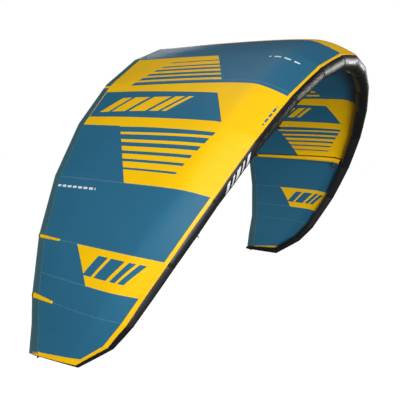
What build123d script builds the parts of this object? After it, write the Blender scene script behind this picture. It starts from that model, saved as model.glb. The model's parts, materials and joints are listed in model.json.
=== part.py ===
from build123d import *
import os
from math import cos, degrees, pi, radians, sin, sqrt, tan

os.makedirs("parts", exist_ok=True)

# An inflatable kite of 12 square metres: an arched leading-edge tube with a bladder inside, three
# inflated struts, and a canopy of sewn panels between them.
# +X runs along the span to the right wing, +Y from the leading edge back to the trailing edge, +Z up.
# The origin lies midway between the two middle bridle eyes, on the plane of symmetry.
# Stations number the leading edge's seams outwards from the centre: 0 at the centre, 9 at the tip's
# front corner, negative on the left wing. A fractional station lies between two seams.

# ---- driving dimensions, millimetres and degrees ----
# Leading edge: straight sewn segments that lengthen towards the wings, then two short tip segments
centre_segment_length = 410
segment_growth = 26
main_segments = 7
tip_segment_lengths = (280, 410)
tip_edge_length = 505
droop_rate = 122.3
droop_easing = 25.4
sweep_rate = 42
tip_segment_sweeps = (41.5, 56)
tip_edge_sweep = 86
tip_edge_droop = 33
leading_edge_radius = 75
leading_edge_taper = 33
tip_end_radius = 20
sleeve_wall = 1.6
bladder_gap = 1.0
bladder_wall = 1.2

# Canopy: one skin of cloth, given by its section along each station's chord
trailing_edge_back = 1870
trailing_edge_sweep = 135
trailing_edge_rise = 264
trailing_edge_fall = 244
trailing_edge_inset = 55
inset_onset_share = 0.25
tip_panel_te_share = 0.5
cloth_thickness = 1.6
seam_clearance = 3.6
seam_angle = 58
tip_corner_angle = 76
tip_corner_lift = 4.2
camber_ratio = 0.09
crest_share = 0.15
rear_fullness = 0.2
seam_trim_width = 22
tip_trim_widening = 14
trim_overlap = 4
trim_clearance = 0.3
trim_thickness = 1.6
te_band_width = 45

# Struts: tapered inflated tubes under the canopy
strut_stations = (0, 5, -5)
strut_front_radius = 34
strut_rear_radius = 19
strut_end_margin = 150
strut_gap = 1.6
strut_ring_shares = (0, 0.045, 0.09, 0.16, 0.26, 0.4, 0.6, 0.8, 0.99, 1)
strut_start_share = 0.3
strut_front_clearance = 0.4

# Battens in pockets at the trailing edge
batten_stations = (6, 7)
batten_length = 215
batten_width = 9
batten_thickness = 3
pocket_length = 250
pocket_mouth_width = 38
pocket_inner_width = 20
pocket_wall = 1.2
batten_clearance = 0.3
pocket_standoff = 0.9
pocket_rear_margin = 4

# Patches and closing flaps at the struts' rear ends
patch_length = 90
patch_side_length = 20
patch_width = 90
patch_rear_margin = 52
patch_clearance = 0.6
flap_thickness = 1.5
flap_bead_radius = 1.2
flap_bead_length = 20
flap_drop = 3.5
hinge_clearance = 0.08
moving_clearance = 0.4

# Valves on the leading edge
inflate_bore_radius = 6.5
inflate_neck_radius = 10
deflate_bore_radius = 13
deflate_neck_radius = 17
valve_neck_height = 11
valve_bore_length = 20
valve_flange_margin = 7
valve_flange_thickness = 1.5
valve_share = 0.55
valve_angle = 215
cap_thickness = 2.5
cap_skirt_depth = 3
cap_skirt_wall = 1.6
cap_knuckle_width = 6
cap_pin_radius = 1.4
cap_ear_width = 2.5
cap_ear_overlap = 1.5
cap_knuckle_radius = 2.8
cap_hinge_drop = 0.8
valve_flange_lift = 0.4

# Air hoses between the leading edge and each strut, with a pinch clip on each
hose_radius = 7
hose_bore_radius = 5
hose_offset = 115
hose_reach = 135
hose_bend_share = 0.45
hose_end_depth = 7
hose_angle = 165
port_depth = 12
port_clearance = 0.3
clip_length = 16
clip_wall = 2.5
clip_stand_off = 30
clip_ear_width = 2
lever_length = 34
lever_knuckle_radius = 2.8
lever_pin_radius = 1.2
lever_thickness = 2.4
lever_width = 10

# Webbing tabs with a round eye for a line, on the leading edge and at the tips
eye_radius = 4
webbing_thickness = 2.4
webbing_width = 16
webbing_length = 70
eye_reach = 9
webbing_lift = 0.8
bridle_segments = (1, 3, 5)
bridle_angle = -38
back_line_share = 0.86

# Zip in the leading edge, through which the bladder goes in
zip_segment = -1
zip_angle = 248
zip_length = 330
zip_width = 24
zip_tape_thickness = 1.2
zip_rail_width = 5
zip_rail_height = 2
slider_length = 14
slider_width = 11
slider_wall = 1.5
slider_clearance = 0.3
zip_lift = 0.5
zip_stop_length = 4
pull_pin_radius = 1
pull_pin_lift = 2.4
pull_knuckle_radius = 2.1
pull_length = 26
pull_width = 6
pull_thickness = 1.6

# ---- the leading edge's line of seams ----
main_lengths = [centre_segment_length + segment_growth * i for i in range(main_segments)]
segment_lengths = main_lengths + list(tip_segment_lengths)
half_length = sum(segment_lengths)
seam_distances = [sum(segment_lengths[:i]) for i in range(len(segment_lengths) + 1)]
tip_station = len(segment_lengths)


def droop_at(share):
    """The arch's slope down from the horizontal, at a share of the half span's length."""
    return min(90, droop_rate * share - droop_easing * share**2)


def heading(droop, sweep):
    """The direction of a segment of the right wing."""
    flat = cos(radians(sweep))
    return Vector(flat * cos(radians(droop)), sin(radians(sweep)), -flat * sin(radians(droop)))


def segment_angles(number):
    """Droop and sweep of segment `number`, from seam `number` to the next."""
    share = (seam_distances[number] + seam_distances[number + 1]) / 2 / half_length
    if number < main_segments:
        return droop_at(share), sweep_rate * share
    return 90, tip_segment_sweeps[number - main_segments]


seam_points = [Vector(0, 0, 0)]
segment_headings = []
for number, length in enumerate(segment_lengths):
    segment_headings.append(heading(*segment_angles(number)))
    seam_points.append(seam_points[-1] + segment_headings[-1] * length)
segment_headings.append(heading(tip_edge_droop, tip_edge_sweep))
tip_end = seam_points[-1] + segment_headings[-1] * tip_edge_length


def radius_at_seam(number):
    return leading_edge_radius - leading_edge_taper * seam_distances[number] / half_length


def outward_at_seam(number):
    """The direction away from the arch's inside, in the plane across the kite."""
    droop = radians(droop_at(seam_distances[number] / half_length))
    return Vector(sin(droop), 0, cos(droop))


def mix(low, high, share):
    return low + (high - low) * share


def mirrored(vector, side):
    return Vector(vector.X * side, vector.Y, vector.Z)


def tube_surface(number, share, angle):
    """A plane on the tube's surface, facing out of it, with x along the tube.

    `number` is the segment's inner seam, negative on the left wing as -1, -2 ... for 0, 1 ...
    `angle` is 0 at the front, 90 on top, 180 behind and 270 inside the arch.
    """
    side = -1 if number < 0 else 1
    low = -number - 1 if number < 0 else number
    if low < tip_station:
        ends = seam_points[low], seam_points[low + 1]
        radii = radius_at_seam(low), radius_at_seam(low + 1)
        outward = mix(outward_at_seam(low), outward_at_seam(low + 1), share)
    else:
        ends = seam_points[tip_station], tip_end
        radii = radius_at_seam(tip_station), tip_end_radius
        outward = outward_at_seam(tip_station)
    line = segment_headings[low]
    outward = (outward - line * outward.dot(line)).normalized()
    forward = line.cross(outward)
    spoke = forward * cos(radians(angle)) + outward * sin(radians(angle))
    surface = mix(*ends, share) + spoke * mix(*radii, share)
    along = (ends[1] + spoke * radii[1] - ends[0] - spoke * radii[0]).normalized()
    normal = spoke - along * spoke.dot(along)
    return Plane(
        origin=mirrored(surface, side),
        x_dir=mirrored(along, side),
        z_dir=mirrored(normal, side),
    )


# The origin: midway between the eyes of the two middle bridle tabs
eye_height = webbing_lift + webbing_thickness + eye_reach
middle_tab = tube_surface(bridle_segments[1], 0.5, bridle_angle)
middle_eye = middle_tab.origin + middle_tab.z_dir * eye_height
to_origin = Vector(0, middle_eye.Y, middle_eye.Z)
seam_points = [point - to_origin for point in seam_points]
tip_end = tip_end - to_origin


def tube_line(number):
    """The tube's direction at a seam, halfway between its two segments, or within a segment."""
    if number == 0:
        return Vector(1, 0, 0)
    if number > tip_station or number != int(number):
        return segment_headings[min(int(number), tip_station)]
    return (segment_headings[int(number) - 1] + segment_headings[int(number)]).normalized()


def rear_point(number):
    """The trailing edge's corner at seam `number` of the right wing."""
    if number == tip_station:
        return tip_end
    if number > main_segments:
        last_full = rear_point(main_segments)
        return last_full + (tip_end - last_full) * tip_panel_te_share
    share = seam_distances[number] / half_length
    droop = radians(droop_at(share))
    rise = trailing_edge_rise - trailing_edge_fall * share
    inset = trailing_edge_inset * sin(pi / 2 * min(1, share / inset_onset_share))
    along = Vector(cos(droop), 0, -sin(droop))
    point = seam_points[number] + outward_at_seam(number) * rise - along * inset
    back = trailing_edge_back + trailing_edge_sweep * share**2
    return Vector(point.X, seam_points[0].Y + back, point.Z)


class Station:
    """A chordwise section: its plane, its chord, and the sizes of what crosses it."""

    def __init__(self, number):
        side = -1 if number < 0 else 1
        low = min(int(abs(number)), tip_station - 1)
        share = abs(number) - low
        self.number = number
        self.front = mirrored(mix(seam_points[low], seam_points[low + 1], share), side)
        self.rear = mirrored(mix(rear_point(low), rear_point(low + 1), share), side)
        self.radius = mix(radius_at_seam(low), radius_at_seam(low + 1), share)
        outward = mirrored(mix(outward_at_seam(low), outward_at_seam(low + 1), share), side)
        self.chord_line = (self.rear - self.front).normalized()
        self.upright = outward
        self.outward = (outward - self.chord_line * outward.dot(self.chord_line)).normalized()
        self.chord = (self.rear - self.front).length
        self.plane = Plane(
            origin=self.front,
            x_dir=self.chord_line,
            z_dir=self.chord_line.cross(self.outward),
        )
        self.at_tip = abs(number) == tip_station
        self.line = mirrored(tube_line(abs(number)), side)
        if self.at_tip:
            self.line = mirrored(segment_headings[-2], side)
        self.lift = tip_corner_lift if self.at_tip else 0
        self.seam_angle = tip_corner_angle if self.at_tip else seam_angle
        self.rear_lift = tip_end_radius + seam_clearance if self.at_tip else 0
        top_of_tube = self.radius + seam_clearance + self.lift
        self.crest_height = top_of_tube if self.at_tip else camber_ratio * self.chord

    def tube_point(self, angle, radius):
        """Where this section cuts the tube, `angle` degrees round from its front to its top."""
        upward = (self.upright - self.line * self.upright.dot(self.line)).normalized()
        forward = self.line.cross(upward) * (-1 if self.number < 0 else 1)
        spoke = (forward * cos(radians(angle)) + upward * sin(radians(angle))) * radius
        spoke = spoke - self.line * (spoke.dot(self.plane.z_dir) / self.line.dot(self.plane.z_dir))
        return Vector(spoke.dot(self.chord_line), spoke.dot(self.outward))

    def skin_points(self, layer):
        """Front edge, crest and rear of the skin, `layer` above its seat, with their handles."""
        radius = self.radius + seam_clearance + self.lift + layer
        front = self.tube_point(self.seam_angle, radius)
        ahead = self.tube_point(self.seam_angle - 1, radius)
        slope = (front.Y - ahead.Y) / (front.X - ahead.X)
        top = self.crest_height + layer
        front_handle = Vector(front.X + (top - front.Y) / slope, top)
        crest = Vector(max(crest_share * self.chord, front_handle.X + 1), top)
        rear_handle = Vector(mix(crest.X, self.chord, rear_fullness), top)
        end = Vector(self.chord, self.rear_lift + layer)
        band = te_band_width / (end - rear_handle).length
        return front, front_handle, crest, rear_handle, mix(end, rear_handle, band), end

    def skin_height(self, back, layer=0):
        """The skin's height above the chord, `back` millimetres behind the tube's centre."""
        front, front_handle, crest, rear_handle, seat, end = self.skin_points(layer)
        if back > seat.X:
            return mix(seat.Y, end.Y, (back - seat.X) / (end.X - seat.X))
        start, handle, stop = (
            (front, front_handle, crest) if back < crest.X else (crest, rear_handle, seat)
        )
        bend = start.X - 2 * handle.X + stop.X
        run = handle.X - start.X
        if abs(bend) < 1e-6:
            along = (back - start.X) / (2 * run)
        else:
            along = (sqrt(run**2 + bend * (back - start.X)) - run) / bend
        rest = 1 - along
        return rest**2 * start.Y + 2 * rest * along * handle.Y + along**2 * stop.Y

    def point(self, back, height, sideways=0):
        return self.plane.from_local_coords(Vector(back, height, sideways))


def finish(piece, name):
    piece.part.label = name
    export_step(piece.part, f"parts/{name}.step")


def skin_section(station, low, high):
    """The closed outline of the canopy's skin at one station, from the tube to the rear band."""
    under = station.skin_points(low)
    over = station.skin_points(high)
    with BuildSketch(station.plane) as section:
        with BuildLine():
            Bezier(*under[0:3])
            Bezier(*under[2:5])
            Line(under[4], over[4])
            Bezier(*over[4:1:-1])
            Bezier(*over[2::-1])
            Line(over[0], under[0])
        make_face()
    return section.sketch


def band_section(station):
    """The strip of stiff cloth along the trailing edge."""
    under = station.skin_points(0)
    over = station.skin_points(cloth_thickness)
    with BuildSketch(station.plane) as section:
        with BuildLine():
            Polyline(under[4], under[5], over[5], over[4], close=True)
        make_face()
    return section.sketch


def seam_plane(number):
    """The mitre plane of the tube at a seam; x points out of the arch and y ahead of the kite."""
    side = -1 if number < 0 else 1
    place = abs(number)
    point = tip_end if place > tip_station else seam_points[place]
    line = mirrored(tube_line(place), side)
    outward = mirrored(outward_at_seam(min(place, tip_station)), side)
    return Plane(
        origin=mirrored(point, side),
        x_dir=outward - line * outward.dot(line),
        z_dir=line * side,
    )


def tube_radius(number):
    return tip_end_radius if abs(number) > tip_station else radius_at_seam(abs(number))


def tube_rings(first, last, shrink=0, end_inset=0):
    """The tube's circles at each seam from `first` to `last`, made smaller by `shrink`."""
    rings = []
    for number in range(first, last + 1):
        inset = 0 if abs(number) <= tip_station else end_inset * (-1 if number > 0 else 1)
        with BuildSketch(seam_plane(number).offset(inset)) as ring:
            Circle(tube_radius(number) - shrink)
        rings.append(ring.sketch)
    return rings


def trim_section(number):
    """The strip of cloth that lies on the tube, just ahead of the canopy's front edge."""
    low = tube_radius(number) + trim_clearance
    high = low + trim_thickness
    width = seam_trim_width + tip_trim_widening * abs(number) / tip_station
    start = 90 - seam_angle - degrees(trim_overlap / low)
    size = degrees((width + trim_overlap) / low)
    with BuildSketch(seam_plane(number)) as section:
        with BuildLine():
            inner = CenterArc((0, 0), low, start, size)
            outer = CenterArc((0, 0), high, start, size)
            Line(inner @ 0, outer @ 0)
            Line(inner @ 1, outer @ 1)
        make_face()
    return section.sketch


# ---- canopy: a centre panel and six panels a side, sewn along the stations ----
panel_stations = {
    "root": (1, 2, 3),
    "inner": (3, 4, 5),
    "middle": (5, 6),
    "outer": (6, 6.5),
    "wing": (6.5, 7),
    "tip": (7, 8, 9),
}
with BuildPart() as centre_panel:
    loft([skin_section(Station(n), 0, cloth_thickness) for n in (-1, 0, 1)], ruled=True)
finish(centre_panel, "canopy_panel_centre")

for side, hand in ((1, "right"), (-1, "left")):
    for place, numbers in panel_stations.items():
        sections = [skin_section(Station(side * n), 0, cloth_thickness) for n in numbers]
        with BuildPart() as canopy_panel:
            loft(sections, ruled=True)
        finish(canopy_panel, f"canopy_panel_{place}_{hand}")

    whole_stations = [Station(side * n) for n in range(tip_station + 1)]
    with BuildPart() as rear_band:
        loft([band_section(station) for station in whole_stations], ruled=True)
    finish(rear_band, f"trailing_edge_band_{hand}")

    with BuildPart() as seam_trim:
        loft([trim_section(side * n) for n in range(tip_station + 1)], ruled=True)
    finish(seam_trim, f"seam_trim_{hand}")


# ---- struts ----
class Strut:
    """A tapered tube that follows the underside of the canopy along one station."""

    def __init__(self, number):
        self.station = Station(number)
        self.start = strut_start_share * self.station.radius
        self.stop = self.station.chord - strut_end_margin

    def radius(self, back):
        return mix(strut_front_radius, strut_rear_radius, back / self.stop)

    def centre(self, back):
        """The tube's centre below the skin, with the direction it runs in, in section terms."""
        step = 1.0
        high = self.station.skin_height(back)
        along = Vector(step, self.station.skin_height(back + step) - high).normalized()
        down = Vector(along.Y, -along.X)
        return Vector(back, high) + down * (self.radius(back) + strut_gap), along

    def plane(self, back):
        middle, along = self.centre(back)
        here = self.station.point(middle.X, middle.Y)
        ahead = self.station.point(middle.X + along.X, middle.Y + along.Y)
        return Plane(origin=here, x_dir=self.station.plane.z_dir, z_dir=ahead - here)

    def ring(self, share, shrink=0, inset=0):
        back = mix(self.start, self.stop, share)
        with BuildSketch(self.plane(back).offset(inset)) as ring:
            Circle(self.radius(back) - shrink)
        return ring.sketch


# Where the valves and hoses pass through the leading edge
inflate_plane = tube_surface(0, valve_share, valve_angle)
deflate_plane = tube_surface(-1, valve_share, valve_angle)


def hose_route(number):
    """The outlet on the tube, the corner, and the inlet on the strut's side, facing the corner."""
    strut = Strut(number)
    segment = number if number >= 0 else number - 1
    outlet = tube_surface(segment, hose_offset / segment_lengths[abs(number)], hose_angle)
    back = hose_reach + strut.station.radius
    ring = strut.plane(back)
    run = (ring.origin - outlet.origin).dot(ring.z_dir) / outlet.z_dir.dot(ring.z_dir)
    corner = outlet.origin + outlet.z_dir * run
    facing = (corner - ring.origin).normalized()
    inlet = Plane(
        origin=ring.origin + facing * strut.radius(back),
        x_dir=ring.z_dir,
        z_dir=facing,
    )
    return outlet, corner, inlet


hose_routes = {number: hose_route(number) for number in strut_stations}


def cut_ports(planes, radius):
    """Cuts round holes through a thin wall, where necks or hoses pass."""
    for plane in planes:
        with BuildSketch(plane.offset(-port_depth)) as port:
            Circle(radius + port_clearance)
        extrude(port.sketch, amount=2 * port_depth, mode=Mode.SUBTRACT)


def cut_leading_edge_ports():
    cut_ports([inflate_plane], inflate_neck_radius)
    cut_ports([deflate_plane], deflate_neck_radius)
    cut_ports([route[0] for route in hose_routes.values()], hose_radius)


# ---- leading edge: sewn sleeve segments, and one bladder from tip to tip ----
sleeve_groups = {"inner": (0, 1, 2), "middle": (3, 4, 5), "outer": (6, 7, 8), "tip": (9,)}
for side, hand in ((1, "right"), (-1, "left")):
    for place, numbers in sleeve_groups.items():
        with BuildPart() as sleeve:
            for number in numbers:
                first = number if side > 0 else -number - 1
                loft(tube_rings(first, first + 1), ruled=True)
            for number in numbers:
                first = number if side > 0 else -number - 1
                loft(tube_rings(first, first + 1, sleeve_wall), ruled=True, mode=Mode.SUBTRACT)
            if place == "tip":
                end = side * (tip_station + 1)
                with BuildSketch(seam_plane(end)):
                    Circle(tip_end_radius)
                extrude(amount=-side * sleeve_wall)
            if place in ("inner", "middle"):
                cut_leading_edge_ports()
        finish(sleeve, f"leading_edge_sleeve_{place}_{hand}")

bladder_shrink = sleeve_wall + bladder_gap
whole_span = (-tip_station - 1, tip_station + 1)
with BuildPart() as leading_edge_bladder:
    loft(tube_rings(*whole_span, bladder_shrink, bladder_shrink), ruled=True)
    hollow_shrink = bladder_shrink + bladder_wall
    loft(tube_rings(*whole_span, hollow_shrink, hollow_shrink), ruled=True, mode=Mode.SUBTRACT)
    cut_leading_edge_ports()
finish(leading_edge_bladder, "leading_edge_bladder")

# ---- struts: a sleeve sewn up to the leading edge, and a bladder inside it ----
strut_names = {0: "centre", 5: "right", -5: "left"}
for number in strut_stations:
    strut = Strut(number)
    hand = strut_names[number]
    inlet = hose_routes[number][2]
    with BuildPart() as strut_sleeve:
        loft([strut.ring(share) for share in strut_ring_shares], ruled=True)
        hollow_rings = [strut.ring(share, sleeve_wall) for share in strut_ring_shares]
        loft(hollow_rings, ruled=True, mode=Mode.SUBTRACT)
        front_tube = tube_rings(number - 1, number + 1, -strut_front_clearance)
        loft(front_tube, ruled=True, mode=Mode.SUBTRACT)
        cut_ports([inlet], hose_radius)
    finish(strut_sleeve, f"strut_sleeve_{hand}")

    with BuildPart() as strut_bladder:
        first, *between, last = strut_ring_shares[2:-1]
        bag_rings = [strut.ring(share, bladder_shrink) for share in (first, *between, last)]
        hollow_rings = [
            strut.ring(first, hollow_shrink, bladder_wall),
            *[strut.ring(share, hollow_shrink) for share in between],
            strut.ring(last, hollow_shrink, -bladder_wall),
        ]
        loft(bag_rings, ruled=True)
        loft(hollow_rings, ruled=True, mode=Mode.SUBTRACT)
        cut_ports([inlet], hose_radius)
    finish(strut_bladder, f"strut_bladder_{hand}")

    # The closing flap folds on a stitched bead across the top of the strut's open end
    rear = strut.plane(strut.stop)
    bead = Plane(
        origin=rear.origin
        - rear.y_dir * (strut_rear_radius - flap_drop)
        + rear.z_dir * (moving_clearance + flap_bead_radius),
        x_dir=rear.z_dir,
        z_dir=rear.x_dir,
    )
    with BuildPart() as flap:
        with BuildSketch(rear.offset(moving_clearance)):
            Circle(strut_rear_radius)
            with Locations((0, -strut_rear_radius)):
                Rectangle(2 * strut_rear_radius, 2 * flap_drop, mode=Mode.SUBTRACT)
        extrude(amount=flap_thickness)
        with BuildSketch(bead):
            Circle(flap_bead_radius)
        extrude(amount=flap_bead_length / 2, both=True)
    finish(flap, f"strut_end_flap_{hand}")


def patch_section(number, rear_margin, length):
    """A strip of the patch that lies against the skin's underside."""
    station = Station(number)
    stop = station.chord - rear_margin
    start = stop - length
    with BuildSketch(station.plane) as section:
        with BuildLine():
            Polyline(
                (start, station.skin_height(start) - patch_clearance),
                (stop, station.skin_height(stop) - patch_clearance),
                (stop, station.skin_height(stop) - patch_clearance - cloth_thickness),
                (start, station.skin_height(start) - patch_clearance - cloth_thickness),
                close=True,
            )
        make_face()
    return section.sketch


with BuildPart() as end_patches:
    for number in strut_stations:
        reach = patch_width / 2 / segment_lengths[abs(number)]
        side_margin = patch_rear_margin + (patch_length - patch_side_length) / 2
        loft(
            [
                patch_section(number - reach, side_margin, patch_side_length),
                patch_section(number, patch_rear_margin, patch_length),
                patch_section(number + reach, side_margin, patch_side_length),
            ],
            ruled=True,
        )
finish(end_patches, "strut_end_patches")

# ---- battens in their pockets, on the outside of the trailing edge ----
def pocket_plane(number):
    """On the skin at the pocket's mouth: x runs forward along it and z out of the arch."""
    station = Station(number)
    mouth = station.chord - pocket_rear_margin
    inner = mouth - pocket_length
    lift = cloth_thickness + pocket_standoff
    rear = station.point(mouth, station.skin_height(mouth) + lift)
    front = station.point(inner, station.skin_height(inner) + lift)
    along = front - rear
    sideways = station.plane.z_dir
    return Plane(origin=rear, x_dir=along, z_dir=along.cross(sideways))


pocket_height = batten_thickness + 2 * (batten_clearance + pocket_wall)
for side, hand in ((1, "right"), (-1, "left")):
    planes = [pocket_plane(side * number) for number in batten_stations]
    with BuildPart() as pockets:
        for plane in planes:
            straight = pocket_length - pocket_inner_width / 2
            with BuildSketch(plane):
                with BuildLine():
                    mouth_line = Line((0, -pocket_mouth_width / 2), (0, pocket_mouth_width / 2))
                    upper = Line(mouth_line @ 1, (straight, pocket_inner_width / 2))
                    RadiusArc(upper @ 1, (straight, -pocket_inner_width / 2), pocket_inner_width / 2)
                    Line((straight, -pocket_inner_width / 2), mouth_line @ 0)
                make_face()
            extrude(amount=pocket_height)
        for plane in planes:
            slot = batten_length + 2 * batten_clearance + pocket_wall
            with BuildSketch(plane.offset(pocket_wall)):
                with Locations((slot / 2, 0)):
                    Rectangle(slot, batten_width + 2 * batten_clearance)
            extrude(amount=batten_thickness + 2 * batten_clearance, mode=Mode.SUBTRACT)
    finish(pockets, f"batten_pockets_{hand}")

    with BuildPart() as battens:
        for plane in planes:
            with BuildSketch(plane.offset(pocket_wall + batten_clearance)):
                with Locations((pocket_wall + batten_clearance + batten_length / 2, 0)):
                    SlotOverall(batten_length, batten_width)
            extrude(amount=batten_thickness)
    finish(battens, f"battens_{hand}")


# ---- air hoses between the leading edge and the struts, each with a pinch clip ----
def hose_path(number):
    """Outlet, corner and inlet, with both ends run on through the walls, and the bend's radius."""
    outlet, corner, inlet = hose_routes[number]
    start = outlet.origin - outlet.z_dir * hose_end_depth
    stop = inlet.origin - inlet.z_dir * hose_end_depth
    first, second = corner - start, stop - corner
    turn = radians(first.get_angle(second))
    radius = hose_bend_share * min(first.length, second.length) / tan(turn / 2)
    return (start, corner, stop), radius


with BuildPart() as air_hoses:
    for number in strut_stations:
        points, bend_radius = hose_path(number)
        print(f"hose at station {number}: bend radius {bend_radius:.0f} mm")
        with BuildLine() as route:
            FilletPolyline(*points, radius=bend_radius)
        with BuildSketch(Plane(origin=points[0], z_dir=points[1] - points[0])) as bore:
            Circle(hose_radius)
            Circle(hose_bore_radius, mode=Mode.SUBTRACT)
        sweep(bore.sketch, path=route.line)
finish(air_hoses, "air_hoses")


def clip_plane(number):
    outlet = hose_routes[number][0]
    return outlet.offset(clip_stand_off)


clip_outer_radius = hose_radius + port_clearance + clip_wall
lever_pin_offset = clip_outer_radius + lever_knuckle_radius + moving_clearance
lever_pin_height = lever_knuckle_radius


def pin_plane(plane, across, up):
    """A plane across a hinge: its z runs along the pin, and its origin is the pin's centre."""
    origin = plane.origin + plane.x_dir * across + plane.z_dir * up
    return Plane(origin=origin, x_dir=plane.x_dir, z_dir=plane.y_dir)


with BuildPart() as clip_bodies:
    for number in strut_stations:
        seat = clip_plane(number)
        with BuildSketch(seat) as collar:
            Circle(clip_outer_radius)
            Circle(hose_radius + port_clearance, mode=Mode.SUBTRACT)
        extrude(collar.sketch, amount=clip_length)
        ear_length = lever_pin_offset + lever_knuckle_radius - hose_radius
        for hand in (1, -1):
            middle = hand * (lever_width / 2 + moving_clearance + clip_ear_width / 2)
            with BuildSketch(seat) as ear:
                with Locations((hose_radius + ear_length / 2, middle)):
                    Rectangle(ear_length, clip_ear_width)
            extrude(ear.sketch, amount=2 * lever_knuckle_radius)
        with BuildSketch(pin_plane(seat, lever_pin_offset, lever_pin_height)) as pin:
            Circle(lever_pin_radius)
        extrude(pin.sketch, amount=lever_width / 2 + moving_clearance + clip_ear_width, both=True)
finish(clip_bodies, "hose_clip_bodies")

for number in strut_stations:
    hinge = pin_plane(clip_plane(number), lever_pin_offset, lever_pin_height)
    with BuildPart() as clip_lever:
        with BuildSketch(hinge):
            Circle(lever_knuckle_radius)
            with Locations((0, -lever_length / 2)):
                Rectangle(lever_thickness, lever_length)
            Circle(lever_pin_radius + hinge_clearance, mode=Mode.SUBTRACT)
        extrude(amount=lever_width / 2, both=True)
    finish(clip_lever, f"hose_clip_lever_{strut_names[number]}")


# ---- valves on the leading edge, each with a snap-on cap on a hinge ----
def make_valve(plane, bore_radius, neck_radius, name):
    lid_radius = neck_radius + moving_clearance + cap_skirt_wall
    lid_height = valve_neck_height + moving_clearance
    hinge_offset = lid_radius + moving_clearance + cap_knuckle_radius
    hinge_height = valve_neck_height - cap_hinge_drop
    pin_line = Plane(
        origin=plane.origin - plane.y_dir * hinge_offset + plane.z_dir * hinge_height,
        x_dir=plane.y_dir,
        z_dir=plane.x_dir,
    )
    flange_seat = plane.offset(valve_flange_lift)
    with BuildPart() as body:
        with BuildSketch(plane.offset(valve_neck_height - valve_bore_length)) as neck:
            Circle(neck_radius)
        extrude(neck.sketch, amount=valve_bore_length)
        with BuildSketch(flange_seat) as flange:
            Circle(neck_radius + valve_flange_margin)
        extrude(flange.sketch, amount=valve_flange_thickness)
        ear_reach = hinge_offset - neck_radius + cap_ear_overlap
        ear_drop = hinge_height - valve_flange_lift
        for hand in (1, -1):
            inner_face = hand * (cap_knuckle_width / 2 + moving_clearance)
            with BuildSketch(pin_line.offset(inner_face)) as ear:
                Circle(cap_knuckle_radius)
                with Locations((ear_reach / 2, -ear_drop / 2)):
                    Rectangle(ear_reach, ear_drop)
            extrude(ear.sketch, amount=hand * cap_ear_width)
        with BuildSketch(pin_line) as pin:
            Circle(cap_pin_radius)
        extrude(pin.sketch, amount=cap_knuckle_width / 2 + moving_clearance + cap_ear_width, both=True)
        with BuildSketch(plane.offset(valve_neck_height - valve_bore_length)) as bore:
            Circle(bore_radius)
        extrude(bore.sketch, amount=valve_bore_length, mode=Mode.SUBTRACT)
    finish(body, f"{name}_valve_body")

    with BuildPart() as cap:
        with BuildSketch(plane.offset(lid_height)) as lid:
            Circle(lid_radius)
            with Locations((0, -hinge_offset / 2)):
                Rectangle(cap_knuckle_width, hinge_offset)
        extrude(lid.sketch, amount=cap_thickness)
        with BuildSketch(plane.offset(lid_height - cap_skirt_depth)) as skirt:
            Circle(lid_radius)
            Circle(neck_radius + moving_clearance, mode=Mode.SUBTRACT)
            with Locations((0, -lid_radius)):
                Rectangle(2 * lid_radius, 2 * lid_radius, mode=Mode.SUBTRACT)
        extrude(skirt.sketch, amount=cap_skirt_depth)
        with BuildSketch(pin_line) as knuckle:
            Circle(cap_knuckle_radius)
        extrude(knuckle.sketch, amount=cap_knuckle_width / 2, both=True)
        with BuildSketch(pin_line) as hole:
            Circle(cap_pin_radius + hinge_clearance)
        extrude(hole.sketch, amount=cap_knuckle_width, both=True, mode=Mode.SUBTRACT)
    finish(cap, f"{name}_valve_cap")


make_valve(inflate_plane, inflate_bore_radius, inflate_neck_radius, "inflate")
make_valve(deflate_plane, deflate_bore_radius, deflate_neck_radius, "deflate")


# ---- webbing tabs with an eye for a line ----
def make_tabs(planes, name):
    with BuildPart() as tabs:
        for plane in planes:
            strip = plane.offset(webbing_lift)
            eye = Plane(
                origin=plane.origin + plane.z_dir * eye_height,
                x_dir=plane.x_dir,
                z_dir=plane.y_dir,
            )
            with BuildSketch(strip) as base:
                RectangleRounded(webbing_length, webbing_width, webbing_width / 5)
            extrude(base.sketch, amount=webbing_thickness)
            with BuildSketch(eye) as loop:
                Circle(eye_radius + webbing_thickness)
                with Locations((0, eye_reach / 2)):
                    Rectangle(2 * webbing_thickness, eye_reach)
                Circle(eye_radius, mode=Mode.SUBTRACT)
            extrude(loop.sketch, amount=webbing_width / 2, both=True)
    finish(tabs, name)


for side, hand in ((1, "right"), (-1, "left")):
    tab_planes = [
        tube_surface(n if side > 0 else -n - 1, 0.5, bridle_angle) for n in bridle_segments
    ]
    make_tabs(tab_planes, f"bridle_tabs_{hand}")
    tip_segment = tip_station if side > 0 else -tip_station - 1
    make_tabs([tube_surface(tip_segment, back_line_share, 0)], f"back_line_tab_{hand}")

# ---- zip in the leading edge ----
zip_plane = tube_surface(zip_segment, 0.5, zip_angle)
tape_top = zip_lift + zip_tape_thickness
rail_top = tape_top + zip_rail_height
with BuildPart() as zip_tape:
    with BuildSketch(zip_plane.offset(zip_lift)):
        RectangleRounded(zip_length, zip_width, zip_width / 6)
    extrude(amount=zip_tape_thickness)
    with BuildSketch(zip_plane.offset(tape_top)):
        Rectangle(zip_length - zip_width, zip_rail_width)
    extrude(amount=zip_rail_height)
    with BuildSketch(zip_plane.offset(tape_top)):
        with GridLocations(zip_length - zip_width, 0, 2, 1):
            Rectangle(zip_stop_length, slider_width)
    extrude(amount=zip_rail_height + slider_wall)
finish(zip_tape, "zip_tape")

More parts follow.
